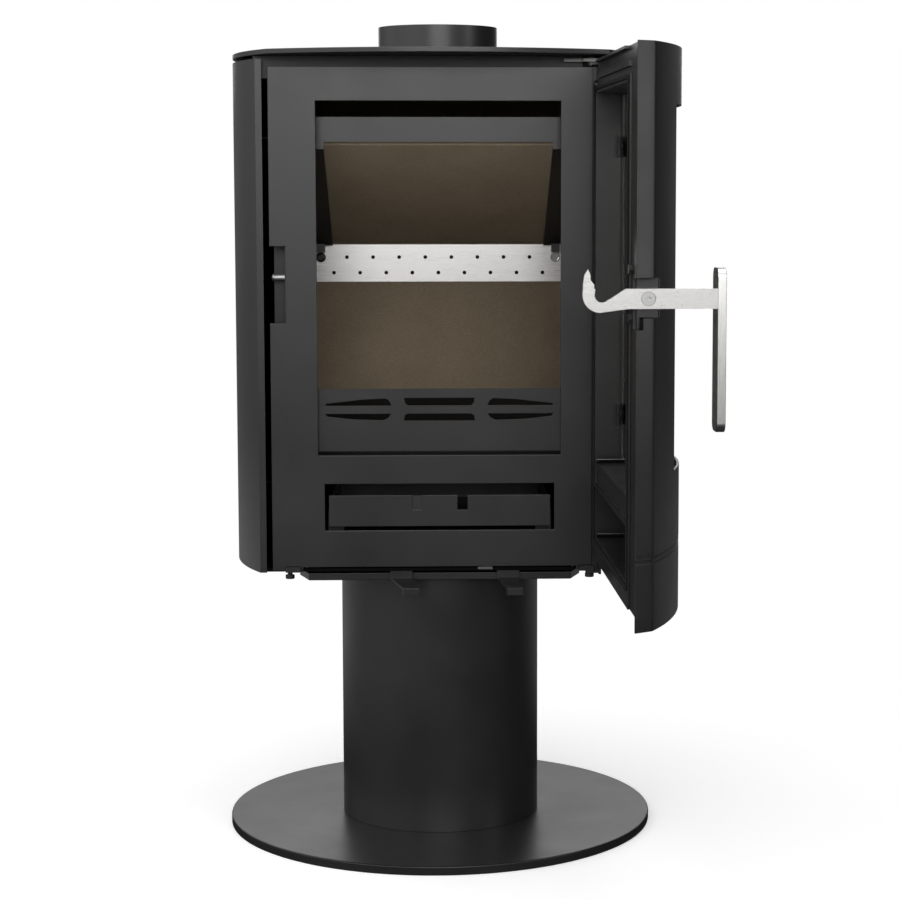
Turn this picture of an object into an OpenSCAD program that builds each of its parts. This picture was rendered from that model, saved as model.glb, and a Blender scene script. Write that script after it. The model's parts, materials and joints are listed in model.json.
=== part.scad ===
// Steel wood stove on a round pedestal, with its door swung open.
// Millimetres. Origin at the centre of the underside of the floor plate,
// +Z up, -Y towards the user, +X to the user's right.

/* [Pedestal] */
// Radius of the round floor plate
base_r = 268.5; // [220:0.5:320]
// Thickness of the round floor plate
base_t = 11; // [8:0.5:16]
// Outer radius of the pedestal column
column_r = 125; // [100:0.5:130]
// Wall of the pedestal column
column_wall = 4; // [3:0.5:6]
// Height of the pedestal column
column_h = 320; // [200:5:420]
// Width of the inner flanges of the column
column_flange = 30; // [24:1:40]
// Thickness of the deck plate that carries the body
deck_t = 9; // [6:0.5:14]
// Half width of the deck plate
deck_half_w = 173; // [166:1:180]
// Half depth of the deck plate
deck_half_d = 135; // [130:0.5:138]
// Corner cut of the deck plate along X
deck_cut_x = 13; // [8:1:20]
// Corner cut of the deck plate along Y
deck_cut_y = 40; // [20:1:60]
// Air gap between the deck plate and the body
deck_gap = 3.5; // [3:0.1:5]

/* [Body] */
// Width of the body across its bowed sides
body_w = 510; // [500:1:530]
// Radius of the bowed sides
side_r = 320; // [310:1:340]
// Fall of the bowed front from its middle to the widest points of the sides
front_sag = 85; // [80:0.5:90]
// Depth of the door at its middle, ahead of the front plate
door_depth = 80; // [76:0.5:86]
// Distance from the origin to the flat back
back_d = 176; // [174:0.5:190]
// Height of the side panels and of the door
panel_h = 616.5; // [600:0.5:640]
// Sheet thickness of the side and back panels
panel_t = 2.5; // [2:0.1:3]
// Lead of the left side panel's front edge over the front plate
panel_ahead = 3; // [2:0.5:4]
// Setback of the right side panel behind the front plate, clear of the door's swing
panel_setback = 11; // [10:0.5:18]
// Width of the folded edges of the side panels
panel_fold = 5; // [4:0.5:6]
// Width of the folds that carry the back panel
back_fold = 20; // [16:1:26]
// Gap between the side panels and the top plate
top_gap = 4.5; // [3.5:0.1:6]
// Thickness of the top plate
top_t = 6; // [5:0.5:10]

/* [Flue] */
// Outer radius of the flue collar
collar_r = 75; // [65:0.5:80]
// Wall of the flue collar
collar_wall = 3; // [2:0.5:4]
// Height of the flue collar above the top plate
collar_h = 37.7; // [30:0.1:60]
// Distance of the flue behind the origin
collar_y = 35; // [20:1:50]
// Width of the flange at the foot of the flue collar
collar_flange = 18; // [16:1:22]

/* [Front plate] */
// Thickness of the steel plates of the firebox
plate_t = 4; // [3:0.5:5]
// Front face of the front plate ahead of the origin
face_d = 147; // [142:0.5:152]
// Inset of the front plate's left edge from the widest point of the body
face_inset_left = 52; // [50:0.5:53]
// Inset of the front plate's right edge from the widest point of the body
face_inset_right = 70.5; // [70:0.5:72]
// Bottom edge of the front plate above the underside of the body
face_rise = 1.5; // [1:0.5:2.5]
// Gap from the top edge of the front plate to the top of the side panels
face_drop = 8.7; // [8:0.1:12]
// Inset of the fire opening from the widest point of the body
fire_inset = 108.5; // [105:0.5:130]
// Gap from the top of the fire opening to the top of the side panels
fire_drop = 49.1; // [48:0.1:60]
// Bottom of the fire opening above the underside of the body
fire_rise = 142.3; // [138:0.1:146]
// Inset of the drawer opening from the widest point of the body
drawer_inset = 116; // [113:0.5:125]
// Height of the drawer opening
drawer_h = 56.8; // [50:0.1:60]
// Bottom of the drawer opening above the underside of the body
drawer_rise = 50.6; // [46:0.1:54]

/* [Firebox] */
// Inset of the side bricks' faces from the widest point of the body
brick_inset = 90; // [88:0.5:92]
// Thickness of the side and back bricks
brick_t = 25; // [20:1:27]
// Step between the side bricks and the throat
throat_step = 5; // [4:0.5:7]
// Depth of the throat behind the front plate
throat_d = 51; // [50:1:54]
// Gap between the firebox and the back panel
back_gap = 4.5; // [4:0.5:12]
// Thickness of the floor bricks
floor_t = 24; // [16:1:26]
// Half width of the square grate
grate_half = 70; // [50:1:90]
// Number of slots in the grate
grate_slots = 7; // [3:1:9]
// Slope of the baffle board
baffle_slope = 27.3; // [24:0.1:30]
// Front edge of the baffle below the top of the fire opening
baffle_drop = 47.9; // [46:0.1:52]
// Height of the flange at the front of the baffle
baffle_lip = 29.8; // [26:0.1:32]
// Opening between the front of the baffle and the upper baffle
upper_gap = 52; // [44:1:60]
// Thickness of the baffle board
baffle_t = 20; // [15:1:25]
// Width of the rails under the baffle board
rail_w = 21; // [18:1:30]
// Height of the stainless air strip
strip_h = 49; // [40:0.5:60]
// Top of the air strip below the top of the fire opening
strip_drop = 178.5; // [178:0.1:200]
// Distance between the two rows of air holes
row_gap = 20.5; // [16:0.5:24]
// Thickness of the air strip
strip_t = 2; // [1.5:0.1:3]
// Distance between the air holes of a row
hole_pitch = 34.5; // [30:0.5:35]
// Radius of an air hole
hole_r = 2.5; // [1.5:0.1:4]
// Height of the log guard
guard_h = 77; // [60:1:90]

/* [Door] */
// Angle at which the door stands open
door_angle = 92; // [0:1:100]
// Inset of the hinge axis from the widest point of the body
hinge_inset = 73; // [72:0.5:74]
// Lead of the hinge axis over the front plate
hinge_ahead = 1; // [0.8:0.1:1.5]
// Radius of the hinge pins
pin_r = 3; // [2.5:0.1:3.2]
// Sheet thickness of the door skin
skin_t = 3; // [2:0.1:4]
// Radius of the rounded corners of the door skin
skin_round = 10; // [6:0.5:14]
// Gap between the door skin's free edge and the front plate
skin_gap = 8; // [7.5:0.5:9]
// Inset of the window from the widest point of the body
window_inset = 130; // [125:1:150]
// Bottom of the window above the underside of the body
window_rise = 161.5; // [150:0.5:170]
// Gap from the top of the window to the top of the door
window_drop = 62; // [58:1:90]
// Height of the apron at the bottom of the door
apron_h = 72.5; // [60:0.5:90]
// Height of the two grooves and the bead above the apron
bead_h = 8.5; // [6:0.1:12]
// Depth of the grooves above the apron
groove_d = 1.5; // [1:0.1:2]
// Thickness of the glass
glass_t = 4; // [3:0.5:5]
// Depth of the glass behind the outer face of the door
glass_in = 8; // [7.5:0.1:10]
// Inset of the inner frame's side walls from the widest point of the body
frame_inset = 90; // [89:0.5:95]
// Thickness of the seal between the inner frame and the front plate
seal_t = 5.2; // [4.7:0.1:5.7]
// Sheet thickness of the inner frame
frame_t = 3; // [2:0.1:4]
// Depth of the flange behind the rim of the inner frame
flange_in = 2.5; // [2.2:0.1:3]
// Gap from the inner frame's ceiling to the top of the door
frame_drop = 40; // [38:0.5:45]
// Gap from the cross member's ledge to the bottom of the fire opening
cross_gap = 5.8; // [4:0.1:8]
// Height of the cross member
cross_h = 29.7; // [27:0.1:32]
// Bottom of the inner frame above the underside of the body
frame_rise = 17.5; // [15:0.5:20]
// Gap from the sill of the inner frame to the bottom of the drawer opening
sill_gap = 4.1; // [3:0.1:6]
// Distance of the lower glass clips above the bottom of the window
clip_low = 31.5; // [25:0.5:60]
// Distance of the upper glass clips below the top of the window
clip_high = 41.5; // [25:0.5:60]
// Lead of the glass clips' middle over the inner face of the glass
clip_ahead = 3.4; // [2.5:0.1:3.6]
// Distance between the screws of a hinge strap
screw_pitch = 17.5; // [14:0.5:18]

/* [Latch] */
// Thickness of the latch arm
arm_t = 6; // [4:0.5:7]
// Height of the latch arm
arm_h = 21; // [18:0.5:24]
// Inset of the latch arm's middle from the widest point of the body
arm_inset = 57; // [56.5:0.5:57.5]
// Lead of the latch's pivot over the front plate
pivot_ahead = 22.5; // [22:0.5:24]
// Pivot of the latch above the underside of the body
pivot_rise = 350.9; // [340:0.1:360]
// Distance from the pivot to the keeper pin, front to back
hook_reach = 51.5; // [51:0.5:52]
// Radius of the pivot screw
pivot_r = 4; // [3:0.1:5]
// Radius of the keeper pin
keeper_r = 3.9; // [3:0.1:4.5]
// Width of the grip bar
grip_w = 35; // [28:1:45]
// Thickness of the grip bar
grip_t = 9.3; // [7:0.1:12]
// Length of the grip bar
grip_h = 173; // [140:1:200]
// Top of the grip bar above the pivot
grip_rise = 32; // [24:0.5:40]
// Back face of the grip bar ahead of the pivot
grip_out = 72.8; // [66:0.1:85]

/* [Drawer and air levers] */
// Sheet thickness of the ash drawer
tray_t = 2; // [1.5:0.1:3]
// Height of the ash drawer
tray_h = 38; // [30:1:40]
// Depth of the ash drawer
tray_d = 240; // [200:5:260]
// Play beside the ash drawer's front
tray_play = 4.7; // [3:0.1:6]
// Width of an air lever
lever_w = 27; // [20:1:30]
// Width of the finger tab of an air lever
tab_w = 19; // [14:1:24]
// Middle of the left air lever
lever_left = -47.5; // [-60:0.5:-40]
// Middle of the right air lever
lever_right = 83; // [75:0.5:95]

/* [Fits] */
// Play between a turning bore and its pin, on the radius
pin_play = 0.05; // [0.02:0.01:0.1]
// Running gap between two pieces that slide or swing past each other
run_gap = 0.3; // [0.2:0.05:0.4]

/* [Hidden] */
$fn = 96;
eps = 0.01;

// Finishes
paint = [0.17, 0.17, 0.18];
dark = [0.08, 0.08, 0.08];
steel = [0.75, 0.74, 0.73];
board = [0.55, 0.47, 0.36];
rope = [0.3, 0.3, 0.29];

// Levels from the floor up
column_top = base_t + column_h;
deck_z = column_top + deck_t;
body_z = deck_z + deck_gap;
panel_top = body_z + panel_h;
top_z = panel_top + top_gap;
lid_z = top_z + top_t;
face_z = body_z + face_rise;
face_top = panel_top - face_drop;
fire_z = body_z + fire_rise;
fire_top = panel_top - fire_drop;
drawer_z = body_z + drawer_rise;
shell_top = face_top;
floor_top = fire_z - 1.8;
spigot_z = lid_z + 1;
brick_foot = floor_top - floor_t;

// Plan of the body
half_w = body_w / 2;
side_c = side_r - half_w;
front_r = (half_w * half_w + front_sag * front_sag) / (2 * front_sag);
front_d = face_d + door_depth;
front_c = front_r - front_d;
back_y = back_d;
face_y = -face_d;
face_left = half_w - face_inset_left;
face_right = half_w - face_inset_right;
panel_front_left = face_d + panel_ahead;
panel_front_right = face_d - panel_setback;
fire_half_w = half_w - fire_inset;
drawer_half_w = half_w - drawer_inset;
fire_inner = half_w - brick_inset;
throat_half_w = fire_inner - throat_step;
fire_back = back_d - panel_t - back_gap - plate_t - brick_t;
face_back = face_y + plate_t;
throat_back = face_back + throat_d;
box_inner = fire_inner + brick_t;
box_outer = box_inner + plate_t;
box_back = fire_back + brick_t;
throat_outer = throat_half_w + plate_t;

// Details that follow from the sizes above
bolt_r = 5;
bolt_play = 0.2;
spacer_x = column_r;
spacer_y = deck_half_d - 30;
lug = 6;
rail_t = 5;
air_hole_r = 8;
shutter_y = -column_r / 2;
hinge_x = half_w - hinge_inset;
arm_x = half_w - arm_inset;
pivot_d = face_d + pivot_ahead;
pivot_z = body_z + pivot_rise;
recess_x = arm_x - 14.8;
recess_h = 92;
recess_z = pivot_z - 48.4;
rail_half = hinge_x - 9;
rail_y = face_back + 5;
bracket_top = body_z + 6.5;
keeper_y = hook_reach - pivot_d;
keeper_z = pivot_z + 5.6;
hinge_y = face_y - hinge_ahead;
swing_back = hinge_y + 53;
frame_half_w = half_w - frame_inset;
frame_y = face_y - run_gap - seal_t;
skin_edge = face_d + skin_gap;
window_half_w = half_w - window_inset;
window_z = body_z + window_rise;
window_top = panel_top - window_drop;
flange_y = frame_y - flange_in;
frame_z = body_z + frame_rise;
ceiling_z = panel_top - frame_drop;
cross_z = fire_z - cross_gap - cross_h;
sill_h = drawer_rise - sill_gap - frame_rise;
baffle_y = throat_back - 20;
baffle_z = fire_top - baffle_drop;
strip_top = fire_top - strip_drop;
shelf_z = drawer_z - 3.1;
tray_z = drawer_z + tray_play;
runner_y = face_back + 12;
guard_y = face_back + 5;
keeper_t = 3;
keeper_back = throat_back - 2;
lug_t = 3.2;
lug_z = face_z - lug_t - 0.8;
pin_low = lug_z - 5;
bracket_up_z = panel_top - 2.8;
flange_top = panel_top - 2;
rim_w = 5;
screw_r = 2.5;
upper_screw_z = panel_top - 29.7;
lower_screw_z = body_z + 34.5;
notch_z = pivot_z - 20;
notch_h = 41.7;
notch_x = arm_x - 9.7;
brick_top = shell_top - 30;
strip_bolt_x = fire_inner - 10.2;
strip_bolt_z = strip_top - 16.7;
strip_bolt_r = 3;
strip_head_r = 6.5;
tray_rear = face_y + tray_d + 3;
guide_y = -column_r + 25;
guide_r = 3;
lever_travel = 40;
baffle_under = baffle_z - 2 - (3 + run_gap) * tan(baffle_slope);
lug_top = baffle_under - 5 * tan(baffle_slope) - rail_t / cos(baffle_slope) - run_gap;
baffle_len = (fire_back - baffle_y - 3 - 2 * run_gap - baffle_t * sin(baffle_slope))
    / cos(baffle_slope);

// Left side bow at a given depth y, taken in by a given inset
function side_x(y, inset = 0) = sqrt(pow(side_r - inset, 2) - y * y) - side_c;
// Front bow at a given x, taken in by a given inset
function front_y(x, inset = 0) = front_c - sqrt(pow(front_r - inset, 2) - x * x);

// ---- Shapes that repeat ----

// Plan outline of the body: bowed front, bowed sides, flat back
module outline(inset = 0) {
    intersection() {
        translate([0, front_c]) circle(r = front_r - inset);
        translate([-side_c, 0]) circle(r = side_r - inset);
        translate([side_c, 0]) circle(r = side_r - inset);
        translate([-body_w, -body_w]) square([2 * body_w, body_w + back_y - inset]);
    }
}

// A plate given by its two opposite corners
module block(low, high) {
    translate(low) cube(high - low);
}

// A block and its mirror image on the other side of the body
module pair() {
    for (side = [0, 1]) mirror([side, 0, 0]) children();
}

// A cylinder along Y that starts at y and runs towards +Y
module bar_y(x, y, z, r, length) {
    translate([x, y, z]) rotate([-90, 0, 0]) cylinder(r = r, h = length, $fn = 32);
}

// A hexagon-headed bolt that points down from its seat
module bolt_down(r, length, head_r, head_h) {
    translate([0, 0, -length]) cylinder(r = r, h = length + eps, $fn = 32);
    cylinder(r = head_r, h = head_h, $fn = 6);
}

// ---- Pedestal ----

// Places its children at the column's bolts
module at_column_bolts() {
    for (a = [45:90:315]) rotate([0, 0, a])
        translate([column_r - column_wall - column_flange / 2, 0, 0]) children();
}

module base_plate() {
    color(paint) difference() {
        union() {
            cylinder(r = base_r, h = base_t - 1);
            translate([0, 0, base_t - 1]) cylinder(r1 = base_r, r2 = base_r - 1, h = 1);
        }
        translate([0, 0, 2]) at_column_bolts() cylinder(r = bolt_r, h = base_t, $fn = 32);
    }
}

module pedestal_column() {
    color(paint) difference() {
        translate([0, 0, base_t]) cylinder(r = column_r, h = column_h);
        translate([0, 0, base_t + plate_t])
            cylinder(r = column_r - column_wall, h = column_h - 2 * plate_t);
        cylinder(r = column_r - column_wall - column_flange, h = 2 * deck_z);
        translate([0, 0, base_t]) at_column_bolts()
            cylinder(r = bolt_r + bolt_play, h = 2 * deck_z, center = true, $fn = 32);
    }
}

module column_bolts() {
    color(dark) {
        translate([0, 0, base_t + plate_t]) at_column_bolts()
            bolt_down(bolt_r, plate_t + base_t - 2, 8, 6);
        translate([0, 0, column_top - plate_t]) at_column_bolts() mirror([0, 0, 1])
            bolt_down(bolt_r, plate_t + deck_t - 2, 8, 6);
    }
}

// Plan of the deck plate, with its corners cut
module deck_plan() {
    w = deck_half_w;
    d = deck_half_d;
    polygon([
        [w - deck_cut_x, -d], [w, deck_cut_y - d], [w, d - deck_cut_y], [w - deck_cut_x, d],
        [deck_cut_x - w, d], [-w, d - deck_cut_y], [-w, deck_cut_y - d], [deck_cut_x - w, -d]
    ]);
}

module support_plate() {
    color(paint) difference() {
        translate([0, 0, column_top]) linear_extrude(deck_t) deck_plan();
        translate([0, 0, column_top - 1]) at_column_bolts() cylinder(r = bolt_r, h = deck_t - 1, $fn = 32);
    }
}

module body_spacers() {
    color(dark) for (x = [-1, 1], y = [-1, 1])
        translate([x * spacer_x, y * spacer_y, deck_z]) cylinder(r = 10, h = deck_gap, $fn = 32);
}

// ---- Firebox ----

// Part of the bottom plate that closes the casing beside the firebox, from a given front edge
module casing_floor(x, front) {
    translate([0, 0, body_z]) linear_extrude(plate_t) intersection() {
        outline(panel_t + run_gap);
        translate([x, front]) square([body_w - throat_half_w, box_back + plate_t - front]);
    }
}

module firebox_bottom() {
    color(paint) difference() {
        union() {
            block([-throat_outer, face_back, body_z], [throat_outer, throat_back, body_z + plate_t]);
            block([-box_outer, throat_back, body_z], [box_outer, box_back + plate_t, body_z + plate_t]);
            casing_floor(-body_w, face_back);
            casing_floor(throat_half_w, swing_back);
        }
        for (x = [lever_left, lever_right]) translate([x, shutter_y, body_z - eps])
            for (s = [-1, 1]) translate([s * 14, 0, 0]) cylinder(r = air_hole_r, h = 2 * plate_t);
    }
}

// One bent side of the firebox: throat, step and side wall
module firebox_side() {
    low = body_z + plate_t;
    high = shell_top - plate_t;
    block([throat_half_w, face_back, low], [throat_outer, throat_back, high]);
    block([throat_half_w, throat_back, low], [box_outer, throat_back + plate_t, high]);
    block([box_inner, throat_back + plate_t, low], [box_outer, box_back, high]);
    block([throat_half_w - lug, baffle_y, lug_top - lug], [throat_half_w, baffle_y + 8, lug_top]);
}

module firebox_left() {
    color(paint) mirror([1, 0, 0]) firebox_side();
}

module firebox_right() {
    color(paint) firebox_side();
}

module firebox_back() {
    color(paint)
        block([-box_outer, box_back, body_z + plate_t], [box_outer, box_back + plate_t, shell_top - plate_t]);
}

module firebox_top() {
    color(paint) difference() {
        union() {
            block([-throat_outer, face_back, shell_top - plate_t], [throat_outer, throat_back, shell_top]);
            block([-box_outer, throat_back, shell_top - plate_t], [box_outer, box_back + plate_t, shell_top]);
        }
        translate([0, collar_y, shell_top - 2 * plate_t])
            cylinder(r = collar_r - collar_wall, h = 4 * plate_t);
        translate([0, 0, shell_top]) at_collar_bolts()
            cylinder(r = 3, h = 4 * plate_t, center = true, $fn = 32);
    }
}

module front_plate() {
    color(paint) difference() {
        block([-face_left, face_y, face_z], [face_right, face_back, face_top]);
        block([-fire_half_w, face_y - 1, fire_z], [fire_half_w, face_back + 1, fire_top]);
        block([-drawer_half_w, face_y - 1, drawer_z], [drawer_half_w, face_back + 1, drawer_z + drawer_h]);
        block([-face_left - 1, face_y - 1, recess_z], [-recess_x, face_back + 1, recess_z + recess_h]);
        pair() block([hinge_x - 13, face_y - 1, face_z - 1], [hinge_x + 5, face_back + 1, bracket_top]);
        for (x = [lever_left, lever_right])
            block([x - lever_w / 2 - 1, face_y - 1, face_z - 1],
                [x + lever_w / 2 + 1, face_back + 1, face_z + 1.5]);
    }
}

// Rail under the top plate; its left end also closes the gap beside the front plate
module top_rail() {
    left = run_gap - side_x(rail_y, panel_t);
    color(dark) {
        block([left, rail_y, shell_top], [rail_half, rail_y + plate_t, top_z]);
        block([left, rail_y, shell_top - 14], [-rail_half, rail_y + plate_t, shell_top + eps]);
    }
}

// ---- Top plate and flue ----

// Places its children at the bolts of the flue collar's flange
module at_collar_bolts() {
    for (a = [45:90:315]) translate([0, collar_y, 0]) rotate([0, 0, a])
        translate([collar_r + collar_flange / 2, 0, 0]) children();
}

module top_plate() {
    color(paint) difference() {
        translate([0, 0, top_z]) linear_extrude(top_t) outline();
        translate([0, collar_y, top_z - 1]) cylinder(r = collar_r + 0.8, h = 3 * top_t);
    }
}

module top_spacers() {
    color(dark) for (x = [-1, 1], y = [-0.4, 0.8])
        translate([x * fire_inner, y * fire_back, shell_top])
            cylinder(r = 8, h = top_z - shell_top, $fn = 32);
}

module flue_collar() {
    color(paint) difference() {
        union() {
            translate([0, collar_y, shell_top]) cylinder(r = collar_r - 0.6, h = spigot_z + eps - shell_top);
            translate([0, collar_y, spigot_z]) cylinder(r = collar_r, h = lid_z + collar_h - spigot_z);
            translate([0, collar_y, shell_top]) cylinder(r = collar_r + collar_flange, h = plate_t);
        }
        translate([0, collar_y, shell_top - 1]) cylinder(r = collar_r - collar_wall, h = 4 * collar_h);
        translate([0, 0, shell_top]) at_collar_bolts()
            cylinder(r = 3 + bolt_play, h = 4 * plate_t, center = true, $fn = 32);
    }
}

module collar_bolts() {
    color(dark) translate([0, 0, shell_top + plate_t]) at_collar_bolts()
        bolt_down(3, 2 * plate_t, 5.5, 4);
}

// ---- Outer panels ----

// Sheet that follows the body's outline between two depths, one side only
module side_sheet(front, rear) {
    translate([0, 0, body_z]) linear_extrude(panel_h) intersection() {
        difference() {
            outline();
            outline(panel_t);
        }
        translate([-body_w, -front]) square([body_w, front + rear]);
    }
}

module side_panel_left() {
    color(paint) {
        side_sheet(panel_front_left, back_y - panel_t);
        translate([0, 0, body_z]) linear_extrude(panel_h) intersection() {
            outline(panel_t - eps);
            translate([-side_x(panel_front_left, panel_t) - 1, -panel_front_left])
                square([panel_fold + 1, panel_t]);
        }
        rear_fold();
    }
}

module side_panel_right() {
    color(paint) mirror([1, 0, 0]) {
        side_sheet(panel_front_right, back_y - panel_t);
        rear_fold();
    }
}

// Inward fold at the rear edge of the left side panel
module rear_fold() {
    edge = back_y - 2 * panel_t;
    translate([0, 0, body_z]) linear_extrude(panel_h) intersection() {
        outline(panel_t - eps);
        translate([-side_x(edge, panel_t) - 1, edge]) square([back_fold + 1, panel_t]);
    }
}

// Places its children at the screws of the back panel
module at_back_screws() {
    pair() for (k = [0:2])
        translate([side_x(back_y, panel_t) - back_fold / 2, back_y, body_z + 40 + k * (panel_h - 80) / 2])
            children();
}

module back_panel() {
    color(paint) translate([0, 0, body_z]) linear_extrude(panel_h) intersection() {
        outline();
        translate([-body_w, back_y - panel_t]) square([2 * body_w, panel_t]);
    }
}

module back_screws() {
    color(dark) at_back_screws() rotate([-90, 0, 0]) cylinder(r = 4, h = 2.2, $fn = 32);
}

module panel_brackets() {
    color(dark) pair() for (k = [0.15, 0.85])
        translate([0, 0, body_z + k * panel_h]) linear_extrude(3) intersection() {
            outline(panel_t);
            translate([box_outer, -20]) square([body_w, 40]);
        }
}

// ---- Latch keeper and hinge brackets ----

module latch_keeper() {
    low = recess_z - keeper_t;
    high = recess_z + recess_h + keeper_t;
    color(paint) difference() {
        union() {
            block([-recess_x - 1.8, face_back, low], [-recess_x + 2.2, keeper_back, high]);
            block([-face_left + 2, keeper_back - keeper_t, low], [-recess_x + 2.2, keeper_back, high]);
        }
        translate([-face_left, keeper_y, keeper_z]) rotate([0, 90, 0])
            cylinder(r = keeper_r + pin_play, h = 60, $fn = 32);
    }
}

module latch_pin() {
    color(steel) translate([-face_left + 0.7, keeper_y, keeper_z]) rotate([0, 90, 0])
        cylinder(r = keeper_r, h = face_left - recess_x + 1.5, $fn = 32);
}

module hinge_bracket_upper() {
    color(steel) difference() {
        translate([0, 0, bracket_up_z]) union() {
            block([hinge_x - 10, hinge_y - 8, 0], [hinge_x + 14, rail_y, plate_t]);
            block([hinge_x - 32, hinge_y + 2, 0], [hinge_x - 10 + eps, rail_y, plate_t]);
        }
        translate([hinge_x, hinge_y, bracket_up_z - 1])
            cylinder(r = pin_r + pin_play, h = 3 * plate_t, $fn = 32);
    }
}

module hinge_bracket_lower() {
    color(dark) pair() difference() {
        block([hinge_x - 13, hinge_y - 7, lug_z + lug_t], [hinge_x + 5, face_back, bracket_top]);
        translate([hinge_x, hinge_y, body_z - 2 * plate_t])
            cylinder(r = pin_r + pin_play, h = 6 * plate_t, $fn = 32);
    }
}

module hinge_pins() {
    color(dark) {
        pair() translate([hinge_x, hinge_y, pin_low]) {
            cylinder(r = pin_r + 2.5, h = lug_z - run_gap - pin_low, $fn = 32);
            cylinder(r = pin_r, h = bracket_top - pin_low, $fn = 32);
        }
        translate([hinge_x, hinge_y, 0]) {
            translate([0, 0, face_top + run_gap])
                cylinder(r = pin_r, h = bracket_up_z + plate_t + 2 - face_top - run_gap, $fn = 32);
            translate([0, 0, bracket_up_z + plate_t]) cylinder(r = pin_r + 2.5, h = 2, $fn = 32);
        }
    }
}

// ---- Bricks, grate and baffles ----

// A level plate that fills the firebox and its throat
module floor_sheet(z, t, inset = 0) {
    block([inset - throat_half_w, face_back, z], [throat_half_w - inset, throat_back + plate_t, z + t]);
    block([inset - box_inner, throat_back + plate_t, z], [box_inner - inset, box_back, z + t]);
}

module side_brick() {
    block([fire_inner, throat_back + plate_t, floor_top], [box_inner, fire_back, brick_top]);
}

module brick_left() {
    color(board) mirror([1, 0, 0]) side_brick();
}

module brick_right() {
    color(board) side_brick();
}

module brick_back() {
    color(board) difference() {
        block([-box_inner, fire_back, floor_top], [box_inner, box_back, brick_top]);
        at_strip_bolts() bar_y(0, -1, 0, strip_bolt_r + bolt_play, 13);
    }
}

module brick_floor() {
    color(board) difference() {
        block([-box_inner, throat_back + plate_t, brick_foot], [box_inner, box_back, floor_top]);
        block([-grate_half, -grate_half, 0], [grate_half, grate_half, lid_z]);
    }
}

module floor_plate() {
    hole = grate_half - 8;
    color(paint) difference() {
        union() {
            floor_sheet(brick_foot - plate_t, plate_t);
            block([-throat_half_w, throat_back, brick_foot - eps],
                [throat_half_w, throat_back + plate_t, floor_top]);
        }
        block([-hole, -hole, 0], [hole, hole, lid_z]);
    }
}

module grate() {
    half = grate_half - 1;
    pitch = 2 * (half - 8) / grate_slots;
    color(dark) difference() {
        block([-half, -half, brick_foot], [half, half, floor_top - 4]);
        for (k = [0:grate_slots - 1])
            block([-half + 12, -half + 8 + (k + 0.25) * pitch, 0],
                [half - 12, -half + 8 + (k + 0.75) * pitch, lid_z]);
    }
}

module ash_shelf() {
    color(paint) difference() {
        floor_sheet(shelf_z - plate_t, plate_t);
        for (x = [-2:2], y = [-1, 1]) translate([x * 40, y * 40, 0]) cylinder(r = 6, h = lid_z, $fn = 32);
    }
}

module drawer_runners() {
    guide = drawer_half_w - tray_play - 2;
    color(dark) pair() {
        block([guide - 16, runner_y, shelf_z], [guide + 4, tray_rear, tray_z - run_gap]);
        block([guide + 1, runner_y, shelf_z], [guide + 4, tray_rear, tray_z + tray_h / 2]);
    }
}

// Tilts its children onto the baffle's slope, from the baffle's front edge
module on_baffle() {
    translate([0, baffle_y + 3 + run_gap, baffle_under]) rotate([-baffle_slope, 0, 0]) children();
}

module baffle_frame() {
    outer = throat_half_w - run_gap;
    color(dark) {
        block([-outer, baffle_y, baffle_z], [outer, baffle_y + 3, baffle_z + baffle_lip]);
        pair() {
            block([outer - rail_w, baffle_y, baffle_under - rail_t],
                [outer, baffle_y + 3 + run_gap + eps, baffle_z + eps]);
            on_baffle() block([outer - rail_w, -1, -rail_t], [outer, baffle_len, 0]);
            block([outer - 11, fire_back - 18, strip_bolt_z + strip_head_r + run_gap],
                [outer, fire_back - strip_t - run_gap, strip_bolt_z + strip_head_r + 11.5]);
        }
    }
}

module baffle_board() {
    half = throat_half_w - run_gap;
    color(board) on_baffle() block([-half, 0, 0], [half, baffle_len, baffle_t]);
}

module upper_baffle() {
    color(dark) block([run_gap - box_inner, baffle_y + upper_gap, brick_top],
        [box_inner - run_gap, box_back, brick_top + 3]);
}

// ---- Air strip and log guard ----

// Places its children at the two bolts of the air strip, on the back brick's face
module at_strip_bolts() {
    pair() translate([strip_bolt_x, fire_back, strip_bolt_z]) children();
}

// A row of air holes through the strip, on both sides of the middle
module hole_row(z, first) {
    for (x = [first:hole_pitch:strip_bolt_x - 12])
        pair() bar_y(x, fire_back - 2 * strip_t, z, hole_r, 3 * strip_t);
}

module air_strip() {
    half = fire_inner - run_gap;
    color(steel) difference() {
        block([-half, fire_back - strip_t, strip_top - strip_h], [half, fire_back, strip_top]);
        hole_row(strip_bolt_z, hole_pitch / 2);
        hole_row(strip_bolt_z - row_gap, 0);
        at_strip_bolts() bar_y(0, -2 * strip_t, 0, strip_bolt_r + bolt_play, 3 * strip_t);
    }
}

module strip_bolts() {
    color(dark) at_strip_bolts() {
        bar_y(0, -strip_t - 5, 0, strip_head_r, 5);
        bar_y(0, -strip_t - 1, 0, strip_bolt_r, strip_t + 11);
    }
}

// A slot of the log guard, given by its outline as seen from the front
module guard_slot(points) {
    translate([0, guard_y + 4, floor_top]) rotate([90, 0, 0]) linear_extrude(5) polygon(points);
}

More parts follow.
